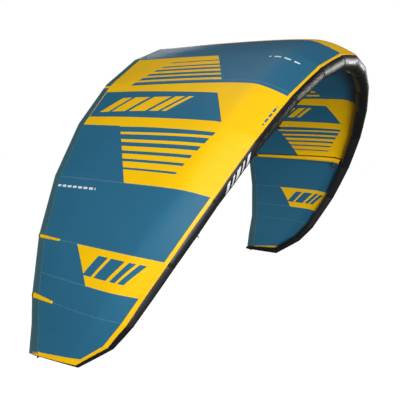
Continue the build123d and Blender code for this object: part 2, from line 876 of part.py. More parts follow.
slider_travel = zip_length - zip_width - zip_stop_length - slider_length - 2 * moving_clearance
slider_plane = Plane(
    origin=zip_plane.origin - zip_plane.x_dir * slider_travel / 2,
    x_dir=zip_plane.x_dir,
    z_dir=zip_plane.z_dir,
)
pull_pin = Plane(
    origin=slider_plane.origin
    + slider_plane.z_dir * (rail_top + slider_clearance + slider_wall + pull_pin_lift),
    x_dir=slider_plane.x_dir,
    z_dir=slider_plane.y_dir,
)
with BuildPart() as zip_slider:
    with BuildSketch(slider_plane.offset(tape_top + slider_clearance)):
        RectangleRounded(slider_length, slider_width, slider_wall)
    extrude(amount=zip_rail_height + slider_wall)
    with BuildSketch(slider_plane.offset(tape_top + slider_clearance)):
        Rectangle(slider_length, zip_rail_width + 2 * slider_clearance)
    extrude(amount=zip_rail_height, mode=Mode.SUBTRACT)
    with BuildSketch(slider_plane.offset(rail_top + slider_clearance + slider_wall / 2)):
        with GridLocations(0, pull_width + 2 * moving_clearance + slider_wall, 1, 2):
            Rectangle(2 * pull_knuckle_radius, slider_wall)
    extrude(amount=slider_wall / 2 + pull_pin_lift + pull_pin_radius + slider_wall / 2)
    with BuildSketch(pull_pin):
        Circle(pull_pin_radius)
    extrude(amount=pull_width / 2 + moving_clearance + slider_wall, both=True)
finish(zip_slider, "zip_slider")

with BuildPart() as zip_pull:
    with BuildSketch(pull_pin):
        Circle(pull_knuckle_radius)
        with Locations((0, -pull_length / 2)):
            Rectangle(pull_thickness, pull_length)
        Circle(pull_pin_radius + hinge_clearance, mode=Mode.SUBTRACT)
    extrude(amount=pull_width / 2, both=True)
finish(zip_pull, "zip_pull")
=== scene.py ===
# %% [markdown]
# # An inflatable kite, seen as it flies
# The kite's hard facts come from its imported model: where its valves, clips, tabs and joints are.
# This script gives that model its looks. Each piece of cloth is made again as thin, curved cloth,
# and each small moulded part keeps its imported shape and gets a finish.

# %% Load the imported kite
import json
from math import cos, exp, pi, radians, sin, sqrt

import bmesh
import bpy
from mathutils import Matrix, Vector

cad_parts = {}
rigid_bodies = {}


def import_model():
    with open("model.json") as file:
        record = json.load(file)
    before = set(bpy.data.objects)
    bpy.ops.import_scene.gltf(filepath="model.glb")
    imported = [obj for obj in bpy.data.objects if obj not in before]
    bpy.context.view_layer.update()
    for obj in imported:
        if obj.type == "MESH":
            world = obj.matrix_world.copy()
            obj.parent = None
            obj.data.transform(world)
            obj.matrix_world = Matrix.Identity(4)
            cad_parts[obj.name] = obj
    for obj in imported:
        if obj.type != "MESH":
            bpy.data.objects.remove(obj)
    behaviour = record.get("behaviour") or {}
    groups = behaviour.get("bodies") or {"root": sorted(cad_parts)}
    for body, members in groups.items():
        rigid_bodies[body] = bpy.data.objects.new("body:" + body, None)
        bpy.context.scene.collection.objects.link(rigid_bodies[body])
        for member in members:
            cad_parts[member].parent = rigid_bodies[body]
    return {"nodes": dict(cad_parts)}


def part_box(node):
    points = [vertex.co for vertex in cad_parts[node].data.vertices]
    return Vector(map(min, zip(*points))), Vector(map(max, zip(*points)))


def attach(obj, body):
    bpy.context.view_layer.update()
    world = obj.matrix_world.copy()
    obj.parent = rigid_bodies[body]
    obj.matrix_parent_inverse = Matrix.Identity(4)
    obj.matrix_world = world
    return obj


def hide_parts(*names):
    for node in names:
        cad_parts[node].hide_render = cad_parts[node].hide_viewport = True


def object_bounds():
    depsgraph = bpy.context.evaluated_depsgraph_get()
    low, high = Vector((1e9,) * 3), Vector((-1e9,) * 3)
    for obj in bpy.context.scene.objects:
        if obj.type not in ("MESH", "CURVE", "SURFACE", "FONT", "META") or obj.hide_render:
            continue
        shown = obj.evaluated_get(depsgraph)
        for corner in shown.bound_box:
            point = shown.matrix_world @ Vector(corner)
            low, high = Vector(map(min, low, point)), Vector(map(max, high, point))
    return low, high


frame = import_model()
packed_box = [list(corner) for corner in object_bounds()]

# %% [markdown]
# ## The leading edge's line
# The kite is built round one inflated tube, the leading edge. It is sewn from straight segments, so
# its line is a chain of seams, from number 0 in the middle to number 9 at the tip's front corner.
# Everything else hangs on that chain. A curve object could follow it, but a function that gives the
# point for any seam number serves the tube, the canopy, the trim and the struts alike. All sizes
# are in metres.

# %% Driving sizes of the wing
segment_lengths = [0.410 + 0.026 * i for i in range(7)] + [0.280, 0.410]
tip_edge_length = 0.505
half_length = sum(segment_lengths)
tip_station = len(segment_lengths)
main_segments = 7
middle_radius = 0.075
corner_radius = 0.042
tip_end_radius = 0.020


def mix(low, high, share):
    return low + (high - low) * share


def smooth(share):
    share = max(0.0, min(1.0, share))
    return share * share * (3 - 2 * share)


def droop_at(share):
    """The arch's slope down from the horizontal, in degrees, at a share of the half span."""
    return min(90, 122.3 * share - 25.4 * share**2)


def heading(droop, sweep):
    """The direction of a segment of the right wing."""
    flat = cos(radians(sweep))
    return Vector((flat * cos(radians(droop)), sin(radians(sweep)), -flat * sin(radians(droop))))


print("leading edge", round(half_length + tip_edge_length, 3), "m a side")

# %% Seams of the right wing
seam_distances = [sum(segment_lengths[:i]) for i in range(tip_station + 1)]
headings = []
for number in range(tip_station):
    share = (seam_distances[number] + seam_distances[number + 1]) / 2 / half_length
    if number < main_segments:
        headings.append(heading(droop_at(share), 42 * share))
    else:
        headings.append(heading(90, (41.5, 56)[number - main_segments]))
headings.append(heading(33, 86))

sleeve_low, sleeve_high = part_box("leading_edge_sleeve_inner_right")
seam_points = [Vector((0, sleeve_low.y + middle_radius, sleeve_high.z - middle_radius))]
for direction, length in zip(headings, segment_lengths):
    seam_points.append(seam_points[-1] + direction * length)
seam_points.append(seam_points[-1] + headings[-1] * tip_edge_length)
tip_end = seam_points[-1]
print("first seam", seam_points[0], "tip end", tip_end)


def radius_at(place):
    """The tube's radius at a seam number, which may lie between two seams."""
    if place > tip_station:
        return mix(corner_radius, tip_end_radius, place - tip_station)
    low = min(int(place), tip_station - 1)
    distance = mix(seam_distances[low], seam_distances[low + 1], place - low)
    return mix(middle_radius, corner_radius, distance / half_length)


def arch_outward(number):
    """The direction away from the arch's inside at a seam, in the plane across the kite."""
    droop = radians(droop_at(seam_distances[min(number, tip_station)] / half_length))
    return Vector((sin(droop), 0, cos(droop)))


def tube_line(number):
    """The tube's direction at a seam, halfway between its two segments."""
    if number == 0:
        return Vector((1, 0, 0))
    if number > tip_station:
        return headings[-1]
    return (headings[number - 1] + headings[number]).normalized()


def seam_ring(number):
    """Centre, outward and forward directions of the tube's mitre plane at a seam."""
    line = tube_line(number)
    outward = arch_outward(number)
    outward = (outward - line * outward.dot(line)).normalized()
    return seam_points[number], outward, line.cross(outward)


seam_rings = [seam_ring(number) for number in range(tip_station + 2)]


def mirrored(vector, side):
    """A point of the right wing, or its twin on the left for side -1."""
    return Vector((vector.x * side, vector.y, vector.z))


def on_tube(place, turn, lift=0.0):
    """A point of the right wing's tube; turn is 0 on the outside and pi / 2 at the front."""
    low = min(int(place), tip_station)
    points = []
    for number in (low, low + 1):
        centre, outward, forward = seam_rings[number]
        radius = (tip_end_radius if number > tip_station else radius_at(number)) + lift
        points.append(centre + (outward * cos(turn) + forward * sin(turn)) * radius)
    return mix(points[0], points[1], place - low)


print("tube radius at the seams", [round(radius_at(n), 4) for n in range(tip_station + 2)])


# %% [markdown]
# ## Bent grids
# Almost every sewn piece of a kite is a flat shape bent in space: a sheet, a tape or a tube. One
# helper covers them all. It starts from a flat bmesh grid and moves each vertex to where a function
# says. Two UV maps go along: "weave" holds metres along and across the cloth, so that threads and
# stitches keep their real size, and "layout" says where on the wing a point lies, for the colours.

# %% Helper: a grid bent to shape
kite = "kite"


def bent_grid(name, columns, rows, place, outside, round_it=False):
    """A grid whose point (u, v), each 0 to 1, goes where place says: point, weave and layout."""
    shape = bmesh.new()
    bmesh.ops.create_grid(shape, x_segments=columns, y_segments=rows, size=0.5)
    weave = shape.loops.layers.uv.new("weave")
    layout = shape.loops.layers.uv.new("layout")
    shape.verts.index_update()
    made = [place(vert.co.x + 0.5, vert.co.y + 0.5) for vert in shape.verts]
    for face in shape.faces:
        face.smooth = True
        for loop in face.loops:
            loop[weave].uv = made[loop.vert.index][1]
            loop[layout].uv = made[loop.vert.index][2]
    for vert, (point, cloth, where) in zip(shape.verts, made):
        vert.co = point
    if round_it:
        bmesh.ops.remove_doubles(shape, verts=shape.verts, dist=1e-6)
    shape.normal_update()
    facing = sum(face.normal.dot(outside(face.calc_center_median())) for face in shape.faces)
    if facing < 0:
        bmesh.ops.reverse_faces(shape, faces=shape.faces)
    mesh = bpy.data.meshes.new(name)
    shape.to_mesh(mesh)
    shape.free()
    piece = bpy.data.objects.new(name, mesh)
    bpy.context.scene.collection.objects.link(piece)
    return piece


def thicken(piece, thickness, inwards=True):
    """Gives a sheet its cloth's thickness, as a closed mesh."""
    wall = piece.modifiers.new("cloth thickness", "SOLIDIFY")
    wall.thickness = thickness
    wall.offset = -1 if inwards else 0
    return piece


def joined(name, pieces):
    """Several meshes as one piece."""
    shape = bmesh.new()
    for piece in pieces:
        shape.from_mesh(piece.data)
        old = piece.data
        bpy.data.objects.remove(piece)
        bpy.data.meshes.remove(old)
    mesh = bpy.data.meshes.new(name)
    shape.to_mesh(mesh)
    shape.free()
    whole = bpy.data.objects.new(name, mesh)
    bpy.context.scene.collection.objects.link(whole)
    return whole


print("every sewn piece rides on", kite)

# %% [markdown]
# ## The canopy's sections
# Behind each seam the canopy follows an aerofoil: from the tube's top it rises to a crest near the
# front and runs almost straight back to the trailing edge. Two quadratic Bezier curves give that
# line with very few numbers. Between two seams the cloth is a mix of both sections, raised by the
# air into a shallow bow, so the canopy can be made as fine as it needs.

# %% A section at each seam
trailing_edge_back = 1.870
trailing_edge_sweep = 0.135
trailing_edge_rise = 0.264
trailing_edge_fall = 0.244
trailing_edge_inset = 0.055
camber_ratio = 0.09
crest_share = 0.15
rear_fullness = 0.2
seam_clearance = 0.0036
tip_corner_lift = 0.0042
rear_band = 0.045
front_angles = [58, 58, 58, 58, 58, 58, 71, 76, 76, 76]


def rear_point(number):
    """The trailing edge's corner behind a seam of the right wing."""
    if number == tip_station:
        return tip_end
    if number > main_segments:
        return mix(rear_point(main_segments), tip_end, 0.5)
    share = seam_distances[number] / half_length
    droop = radians(droop_at(share))
    rise = trailing_edge_rise - trailing_edge_fall * share
    inset = trailing_edge_inset * sin(pi / 2 * min(1, share / 0.25))
    along = Vector((cos(droop), 0, -sin(droop)))
    point = seam_points[number] + arch_outward(number) * rise - along * inset
    back = seam_points[0].y + trailing_edge_back + trailing_edge_sweep * share**2
    return Vector((point.x, back, point.z))


def bezier_height(start, handle, stop, back):
    """The height of a quadratic curve, given as back and height pairs, at a distance back."""
    bend = start[0] - 2 * handle[0] + stop[0]
    run = handle[0] - start[0]
    if abs(bend) < 1e-9:
        along = (back - start[0]) / (2 * run)
    else:
        along = (sqrt(max(0, run**2 + bend * (back - start[0]))) - run) / bend
    rest = 1 - along
    return rest**2 * start[1] + 2 * rest * along * handle[1] + along**2 * stop[1]


class Section:
    """The canopy's line behind one seam of the right wing's leading edge."""

    def __init__(self, number):
        at_tip = number == tip_station
        upright = arch_outward(number)
        self.front = seam_points[number]
        self.rear = rear_point(number)
        self.chord = (self.rear - self.front).length
        self.back = (self.rear - self.front).normalized()
        self.outward = (upright - self.back * upright.dot(self.back)).normalized()
        self.across = self.back.cross(self.outward)
        line = headings[-2] if at_tip else tube_line(number)
        tall = (upright - line * upright.dot(line)).normalized()
        ahead = line.cross(tall)
        top = radius_at(number) + seam_clearance + (tip_corner_lift if at_tip else 0)

        def round_tube(angle):
            spoke = (ahead * cos(radians(angle)) + tall * sin(radians(angle))) * top
            spoke = spoke - line * (spoke.dot(self.across) / line.dot(self.across))
            return spoke.dot(self.back), spoke.dot(self.outward)

        edge, before = round_tube(front_angles[number]), round_tube(front_angles[number] - 1)
        slope = (edge[1] - before[1]) / (edge[0] - before[0])
        crest = top if at_tip else camber_ratio * self.chord
        handle = (edge[0] + (crest - edge[1]) / slope, crest)
        crest_back = max(crest_share * self.chord, handle[0] + 0.001)
        rear_handle = (mix(crest_back, self.chord, rear_fullness), crest)
        rear_lift = tip_end_radius + seam_clearance if at_tip else 0
        run = Vector((rear_handle[0] - self.chord, rear_handle[1] - rear_lift))
        seat = Vector((self.chord, rear_lift)) + run.normalized() * rear_band
        self.edge = edge
        self.nose = (edge, handle, (crest_back, crest))
        self.tail = ((crest_back, crest), rear_handle, tuple(seat))
        self.end = (self.chord, rear_lift)

    def height(self, back):
        seat = self.tail[2]
        if back > seat[0]:
            return mix(seat[1], self.end[1], (back - seat[0]) / (self.end[0] - seat[0]))
        curve = self.nose if back < self.nose[2][0] else self.tail
        return bezier_height(*curve, back)

    def point(self, back, height):
        return self.front + self.back * back + self.outward * height

    def share_at(self, back):
        """The share of the way back over the cloth, at a distance back from the seam."""
        return (back - self.edge[0]) / (self.chord - self.edge[0])

    def cloth_point(self, share, lift=0.0):
        """A point of the cloth, at a share of the way from its front edge to its rear edge."""
        back = mix(self.edge[0], self.chord, share)
        step = 0.002
        near = min(back, self.chord - step)
        slope = (self.height(near + step) - self.height(near)) / step
        steep = sqrt(1 + slope * slope)
        return self.point(back - lift * slope / steep, self.height(back) + lift / steep)


sections = [Section(number) for number in range(tip_station + 1)]
print("chords", [round(section.chord, 3) for section in sections])

# %% Any point of the canopy
turn_of_segment = [
    radians(droop_at(seam_distances[n + 1] / half_length) - droop_at(seam_distances[n] / half_length))
    for n in range(tip_station)
]
bow_of_segment = [turn * length / 8 for turn, length in zip(turn_of_segment, segment_lengths)]


def canopy_point(place, share, lift=0.0):
    """A point of the canopy: place is the seam number, negative on the left, share the chord's."""
    side = -1 if place < 0 else 1
    place = abs(place)
    low = min(int(place), tip_station - 1)
    part = place - low
    one, two = sections[low], sections[low + 1]
    full = smooth(share * 6) * smooth((1 - share) * 3.5)
    bow = bow_of_segment[low] * 4 * part * (1 - part) * full
    outward = mix(one.outward, two.outward, part).normalized()
    spot = mix(one.cloth_point(share, lift), two.cloth_point(share, lift), part)
    return mirrored(spot + outward * bow, side)


def chord_length(place):
    low = min(int(abs(place)), tip_station - 1)
    return mix(sections[low].chord, sections[low + 1].chord, abs(place) - low)


def span_distance(place):
    """Metres along the leading edge from the middle to a seam number."""
    low = min(int(abs(place)), tip_station - 1)
    distance = mix(seam_distances[low], seam_distances[low + 1], abs(place) - low)
    return distance if place > 0 else -distance


print("canopy's middle rear edge", [round(v, 4) for v in canopy_point(0, 1)])

# %% [markdown]
# ## The canopy
# The canopy is one sheet of thin ripstop cloth, sewn from panels, pulled tight by the air. A cloth
# simulation would find that shape by itself, but the wind's pull on this wing gives almost a pure
# arch, which the sections already are. So the sheet is a fine grid over the sections, and
# what a simulation would add comes by formula: the fullness between two seams, the small puckers
# beside each seam, and the short ripples behind the tube, where flat cloth is sewn to a round one.

# %% Canopy sheet
panel_seams = (1, 3, 5, 6, 6.58, 7)
columns_per_segment = 28
chord_rows = 84
cloth_lift = 0.0014


def puckers(place, share):
    """How far seams and the tube pull the cloth up and down."""
    back = share * chord_length(place)
    span = span_distance(abs(place))
    ripple = 0.0
    for seam in panel_seams:
        away = (abs(place) - seam) * 0.5 / 0.022
        if abs(away) < 3:
            ripple += exp(-away * away) * (0.0009 * sin(back * 2 * pi / 0.083 + seam * 5) - 0.0008)
    behind = back / 0.06
    if behind < 5:
        wave = sin(span * 2 * pi / 0.092) + 0.6 * sin(span * 2 * pi / 0.057 + 1.3)
        ripple += 0.0016 * exp(-behind) * wave * min(1, behind * 2)
    return ripple


def canopy_place(u, v):
    place = (2 * u - 1) * tip_station
    share = v**1.25
    spot = canopy_point(place, share, cloth_lift + puckers(place, share))
    return spot, (span_distance(place), share * chord_length(place)), (place, share)


def away_from_arch(point):
    """Roughly outwards from the arch, at a point of the canopy or the tube."""
    return Vector((point.x * 0.6, 0, point.z + 1.6))


canopy_columns = 2 * tip_station * columns_per_segment
canopy = bent_grid("canopy", canopy_columns, chord_rows, canopy_place, away_from_arch)
panel_nodes = [name for name in frame["nodes"] if name.startswith("canopy_panel")]

thicken(canopy, 0.001)
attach(canopy, kite)
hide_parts(*panel_nodes)
2 * span_distance(tip_station)
chord_length(0)

# %% [markdown]
# ## The leading edge
# Each tube segment is a strip of heavy black cloth rolled up and sewn into a cylinder, and the
# segments meet at a mitred seam. Air makes each one swell a little between its seams, and the
# seams draw in a thread's depth. On the inner side of the bend the spare cloth folds into short
# wrinkles. A swept curve would be perfectly smooth, so each sleeve is a grid rolled round the chain
# of seams.

# %% Sleeves of the leading edge
sleeve_parts = {"inner": (0, 3), "middle": (3, 6), "outer": (6, 9), "tip": (9, 10)}
tube_columns = 22
tube_turns = 72


def tube_distance(place):
    if place > tip_station:
        return half_length + (place - tip_station) * tip_edge_length
    return span_distance(place)


def swell(place, turn):
    """The air's swelling of a tube segment, its drawn-in seams, and the inner side's wrinkles."""
    nearest = round(place)
    length = segment_lengths[int(place)] if place < tip_station else tip_edge_length
    away = (place - nearest) * length
    part = place - int(place)
    swelling = 0.0016 * sin(pi * part) - 0.0022 * exp(-((away / 0.007) ** 2))
    inner = max(0.0, -cos(turn))
    fold = sin(away * 2 * pi / 0.026 + 2.1 * sin(3 * turn)) + 0.5 * sin(away * 2 * pi / 0.041)
    return swelling + 0.0013 * inner**1.5 * fold * exp(-abs(away) / 0.055)


def make_sleeve(group, side, hand):
    first, last = sleeve_parts[group]

    def sleeve_place(u, v):
        place = mix(first, last, u)
        turn = 2 * pi * v
        spot = on_tube(place, turn, swell(place, turn))
        around = turn * radius_at(min(place, last))
        return mirrored(spot, side), (tube_distance(place) * side, around), (place * side, v)

    sleeve = bent_grid(
        f"sleeve_{group}_{hand}",
        tube_columns * (last - first),
        tube_turns,
        sleeve_place,
        lambda point: point - nearest_axis(point, side),
        round_it=True,
    )
    return sleeve


def nearest_axis(point, side):
    """The nearest point of the tube's line."""
    best = None
    for one, two in zip(seam_points, seam_points[1:]):
        one, two = mirrored(one, side), mirrored(two, side)
        along = max(0, min(1, (point - one).dot(two - one) / (two - one).length_squared))
        spot = mix(one, two, along)
        if best is None or (point - spot).length < (point - best).length:
            best = spot
    return best


def close_end(sleeve):
    """Closes the tube's small end with a round cap that bulges a little."""
    shape = bmesh.new()
    shape.from_mesh(sleeve.data)
    rims = [edge for edge in shape.edges if edge.is_boundary]
    end = max(rims, key=lambda edge: edge.verts[0].co.length).verts[0].co
    rim = [edge for edge in rims if (edge.verts[0].co - end).length < 3 * tip_end_radius]
    filled = bmesh.ops.contextual_create(shape, geom=rim)["faces"]
    inner = bmesh.ops.inset_region(shape, faces=filled, thickness=0.008, depth=0.003)
    for face in filled + inner["faces"]:
        face.smooth = True
    shape.to_mesh(sleeve.data)
    shape.free()


sleeves = []
for side, hand in ((1, "right"), (-1, "left")):
    for group in sleeve_parts:
        sleeve = make_sleeve(group, side, hand)
        if group == "tip":
            close_end(sleeve)
        thicken(sleeve, 0.0012)
        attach(sleeve, kite)
        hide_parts(f"leading_edge_sleeve_{group}_{hand}")
        sleeves.append(sleeve)
print("sleeves", len(sleeves), "with", sum(len(s.data.polygons) for s in sleeves), "faces")

# %% [markdown]
# ## Bands and trims
# A kite's edges are bound with narrow strips of cloth, folded or laid over the sheet. Each strip is
# the canopy's own surface again, a millimetre higher and between two limits, so it follows every
# bow of the sheet. The stiff band along the trailing edge folds round it and hides the leech line.

# %% Trailing edge bands
band_widths = [0.045, 0.045, 0.052, 0.060, 0.062, 0.064, 0.072, 0.085, 0.095, 0.104]
band_gap = 0.0009
bead_radius = 0.0022


def band_width(place):
    low = min(int(place), tip_station - 1)
    return mix(band_widths[low], band_widths[low + 1], place - low)


def on_band(place, across):
    """A point of the folded band: across runs from -1 outside, round the edge, to 1 inside."""
    width = band_width(place)
    middle = cloth_lift - 0.0005
    reach = abs(across)
    if reach < 0.12:
        round_edge = across / 0.12 * pi / 2
        lift = middle - bead_radius * sin(round_edge)
        rear = canopy_point(place, 1, lift)
        direction = (rear - canopy_point(place, 0.98, lift)).normalized()
        return rear + direction * bead_radius * cos(round_edge)
    back = (reach - 0.12) / 0.88
    share = 1 - back * width / chord_length(place)
    hem = (bead_radius - 0.0005 - band_gap) * exp(-((back * width / 0.005) ** 2))
    away = 0.0005 + band_gap + hem
    lift = middle + (away if across < 0 else -away) + puckers(place, share)
    return canopy_point(place, share, lift)


def make_band(side, hand):
    def band_place(u, v):
        place = u * tip_station
        across = 2 * v - 1
        weave = (span_distance(place), across * band_width(place))
        return mirrored(on_band(place, across), side), weave, (place, across)

    def band_outside(point):
        return Vector((0, 1, 0))

    columns = columns_per_segment * tip_station
    return bent_grid(f"trailing_band_{hand}", columns, 50, band_place, band_outside)


print("band widths", band_widths)

# %% [markdown]
# ## The yellow binding
# A strip of yellow cloth covers the seam where the canopy meets the tube, and goes on round the
# tip. Ahead of the seam it lies on the tube, behind it on the canopy, so one grid takes its front
# points from the tube and the rest from the canopy. That way no gap opens between the two.

# %% Trims over the seam between canopy and tube
trim_widths = [0.013, 0.013, 0.013, 0.013, 0.015, 0.018, 0.025, 0.038, 0.038, 0.038]
trim_lift = 0.0009


def trim_width(place):
    low = min(int(place), tip_station - 1)
    return mix(trim_widths[low], trim_widths[low + 1], place - low)


def on_trim(place, across):
    """A point of the trim: across is 0 ahead on the tube, and 1 on the canopy."""
    low = min(int(place), tip_station - 1)
    angle = mix(front_angles[low], front_angles[low + 1], place - low)
    if across < 0.3:
        turn = radians(90 - angle + mix(7, 1, across / 0.3))
        spot = on_tube(place, turn, mix(0.0008, 0.0032, smooth(across / 0.3)))
        return spot
    share = (across - 0.3) / 0.7 * trim_width(place) / chord_length(place)
    return canopy_point(place, share, cloth_lift + trim_lift + puckers(place, share))


def on_tip_trim(along, across):
    """A point of the trim along the tip's edge: across is 0 at the edge, and 1 inwards."""
    edge = canopy_point(tip_station, along, cloth_lift)
    inner = canopy_point(tip_station - 1, along, cloth_lift)
    part = across * trim_widths[-1] / (edge - inner).length
    spot = canopy_point(tip_station - part, along, cloth_lift + trim_lift)
    return spot - (inner - edge).normalized() * 0.004 * (1 - across)


def make_trim(side, hand):
    def seam_place(u, v):
        place = u * tip_station
        weave = (span_distance(place), v * trim_width(place))
        return mirrored(on_trim(place, v), side), weave, (place, v)

    def tip_place(u, v):
        weave = (u * tip_edge_length, v * trim_widths[-1])
        return mirrored(on_tip_trim(u, v), side), weave, (tip_station, v)

    columns = columns_per_segment * tip_station
    along_seam = bent_grid(f"seam_strip_{hand}", columns, 12, seam_place, away_from_arch)
    along_tip = bent_grid(f"tip_strip_{hand}", 30, 6, tip_place, lambda point: Vector((side, 0, 0)))
    return joined(f"yellow_trim_{hand}", [along_seam, along_tip])


print("binding widths", trim_widths)

# %% Bands and trims on both wings
rear_edge = [canopy_point(number / 4, 1) for number in range(4 * tip_station + 1)]
trim_length = span_distance(tip_station) + tip_edge_length
for side, hand in ((1, "right"), (-1, "left")):
    band = make_band(side, hand)
    thicken(band, 0.0006)
    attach(band, kite)
    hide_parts(f"trailing_edge_band_{hand}")
    trim = make_trim(side, hand)
    thicken(trim, 0.0007)
    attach(trim, kite)
    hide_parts(f"seam_trim_{hand}")

# %% [markdown]
# ## The struts
# A strut is a tapered inflated tube under the canopy, sewn to it along the top. It carries the
# section's shape, so its own line is the canopy's, its radius lower down. Like the leading edge it
# is a rolled grid. A narrow black tape on each side joins its top to the canopy; the tapes' black
# is also a painted shadow, the dark line in the crease above the strut.

# %% Strut sleeves
strut_front_radius = 0.034
strut_rear_radius = 0.019
strut_gap = 0.0016
strut_end_margin = 0.150
strut_seams = {"centre": 0, "right": 5, "left": 5}


class Strut:
    """The line of one strut, in its section's own terms."""

    def __init__(self, number, side):
        self.section = sections[number]
        self.side = side
        self.start = 0.3 * radius_at(number)
        self.stop = self.section.chord - strut_end_margin

    def radius(self, back):
        return mix(strut_front_radius, strut_rear_radius, back / self.stop)

    def ring(self, back):
        """Centre, along and down of the tube's circle at a distance back."""
        step = 0.001
        high = self.section.height(back)
        slope = (self.section.height(back + step) - high) / step
        steep = sqrt(1 + slope * slope)
        along = (self.section.back + self.section.outward * slope) / steep
        down = (self.section.back * slope - self.section.outward) / steep
        sit = self.section.point(back, high) + down * (self.radius(back) + strut_gap)
        return sit, along, down

    def point(self, back, turn, lift=0.0):
        """A point of the tube's skin; turn is 0 underneath and pi at the canopy."""
        centre, along, down = self.ring(back)
        spoke = down * cos(turn) + self.section.across * sin(turn)
        return mirrored(centre + spoke * (self.radius(back) + lift), self.side)


def make_strut(hand):
    strut = Strut(strut_seams[hand], -1 if hand == "left" else 1)

    def strut_place(u, v):
        back = mix(strut.start, strut.stop, u)
        turn = 2 * pi * v
        seam = exp(-((min(v, 1 - v) * 2 * pi * strut.radius(back) / 0.003) ** 2))
        wrinkle = 0.0005 * sin(back * 2 * pi / 0.037 + 2 * sin(turn)) * max(0, cos(turn - pi)) ** 2
        lift = wrinkle - 0.0009 * seam
        where = (back - strut.start, v)
        return strut.point(back, turn, lift), (back, turn * strut.radius(back)), where

    def strut_outside(point):
        local = mirrored(point, strut.side) - strut.section.front
        back = max(strut.start, min(strut.stop, local.dot(strut.section.back)))
        return point - mirrored(strut.ring(back)[0], strut.side)

    return bent_grid(f"strut_{hand}", 90, 48, strut_place, strut_outside, round_it=True), strut


def make_strut_tape_and_shadow_line(hand, strut):
    """The two tapes that sew the strut's top to the canopy; their black is also a painted shadow, the
    dark line in that crease.
    """
    tapes = []
    for way in (1, -1):

        def tape_place(u, v):
            back = mix(strut.start + 0.06, strut.stop - 0.01, u)
            centre, along, down = strut.ring(back)
            radius = strut.radius(back)
            low = strut.point(back, pi - way * 0.95, 0.0008)
            number = strut_seams[hand]
            share = strut.section.share_at(back)
            place = number + way * radius * 1.02 / segment_lengths[number]
            high = mirrored(canopy_point(place, max(0.004, share), cloth_lift - 0.0022), strut.side)
            bend = mirrored(down, strut.side) * (-0.25 * radius * v * (1 - v))
            return mix(low, high, v) + bend, (back, v * radius), (back, v)

        tapes.append(
            bent_grid(f"tape_{hand}_{way}", 90, 5, tape_place, lambda point: Vector((0, 0, -1)))
        )
    return joined(f"strut_tape_{hand}", tapes)


struts = {}
for hand in strut_seams:
    sleeve, struts[hand] = make_strut(hand)
    thicken(sleeve, 0.001)
    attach(sleeve, kite)
    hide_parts(f"strut_sleeve_{hand}")
    # The black tapes are also a painted shadow: the dark line where the strut meets the canopy.
    tape = make_strut_tape_and_shadow_line(hand, struts[hand])
    thicken(tape, 0.0006)
    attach(tape, kite)
    print(hand, "strut", round(struts[hand].stop - struts[hand].start, 3), "m long")

# %% [markdown]
# ## Patches, pockets and tapes
# Where a strut ends or a batten pushes, the thin canopy is doubled with a patch or a pocket, and a
# tape covers each seam of the tube. All of them lie on something that is already made, so they
# reuse its functions with a small lift, and never sink into it.

# %% Patches at the struts' ends
patch_half_width = 0.045
patch_gap = 0.0021


def make_patches():
    patches = []
    for number, side in ((0, 1), (5, 1), (5, -1)):
        reach = patch_half_width / segment_lengths[number]
        middle = sections[number].chord - 0.052 - 0.045

        def patch_place(u, v):
            sideways = 2 * u - 1
            length = mix(0.090, 0.020, abs(sideways))
            back = middle + (v - 0.5) * length
            share = sections[number].share_at(back)
            place = number + sideways * reach
            spot = canopy_point(place, share, cloth_lift - patch_gap)
            return mirrored(spot, side), (sideways * patch_half_width, v * length), (sideways, v)

        patches.append(
            bent_grid(f"patch_{number}_{side}", 24, 16, patch_place, lambda point: Vector((0, 0, -1)))
        )
    return joined("end_patches", patches)


patches = make_patches()
thicken(patches, 0.0006)
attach(patches, kite)
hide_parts("strut_end_patches")
print("patches", len(patches.data.polygons), "faces")

# %% Batten pockets
pocket_length = 0.250
pocket_mouth = 0.038
pocket_inner = 0.020
pocket_height = 0.0088


def make_pocket(number, side):
    section = sections[number]

    def pocket_place(u, v):
        forward = u * pocket_length
        across = 2 * v - 1
        rounding = min(1.0, (pocket_length - forward) / (pocket_inner / 2))
        half = mix(pocket_mouth, pocket_inner, u) / 2 * sqrt(max(0.0, 1 - (1 - rounding) ** 2))
        puff = (1 - abs(across) ** 3) * mix(0.75, 1, sin(pi * min(1, u * 1.2)))
        back = section.chord - 0.004 - forward
        share = section.share_at(back)
        place = number + across * half / segment_lengths[number]
        crease = 0.0003 * sin(forward * 2 * pi / 0.018) * abs(across) * (1 - abs(across))
        lift = cloth_lift + 0.0012 + pocket_height * puff * min(1, rounding * 1.5) + crease
        spot = canopy_point(place, min(share, 0.999), lift)
        return mirrored(spot, side), (forward, across * half), (u, across)

    return bent_grid(f"pocket_{number}_{side}", 60, 18, pocket_place, lambda point: Vector((side, 0, 0)))


for side, hand in ((1, "right"), (-1, "left")):
    pockets = joined(f"pockets_{hand}", [make_pocket(number, side) for number in (6, 7)])
    thicken(pockets, 0.0006)
    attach(pockets, kite)
    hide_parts(f"batten_pockets_{hand}")
    print(hand, "pockets", len(pockets.data.polygons), "faces")

# %% Tapes round the leading edge's seams
tape_half = 0.011


def make_seam_tapes(side, hand):
    rings = []
    for number in range(1, tip_station + 1):

        def ring_place(u, v):
            outer_half = u > 0.5 and number < tip_station
            length = segment_lengths[number if outer_half else number - 1]
            place = number + (2 * u - 1) * tape_half / length
            turn = 2 * pi * v
            rounded = 1 - (2 * u - 1) ** 6
            ridge = 0.0016 * exp(-(((u - 0.5) / 0.3) ** 2))
            lift = swell(place, turn) + 0.0004 + 0.0006 * rounded + ridge
            spot = on_tube(place, turn, lift)
            around = turn * radius_at(number)
            return mirrored(spot, side), ((2 * u - 1) * tape_half, around), (2 * u - 1, v)

        def ring_outside(point):
            return point - mirrored(seam_points[number], side)

        ring = bent_grid(f"ring_{number}", 10, tube_turns, ring_place, ring_outside, round_it=True)
        rings.append(ring)
    return joined(f"seam_tapes_{hand}", rings)


for side, hand in ((1, "right"), (-1, "left")):
    tapes = make_seam_tapes(side, hand)
    thicken(tapes, 0.0005)
    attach(tapes, kite)
    print(hand, "seam tapes", len(tapes.data.polygons), "faces")

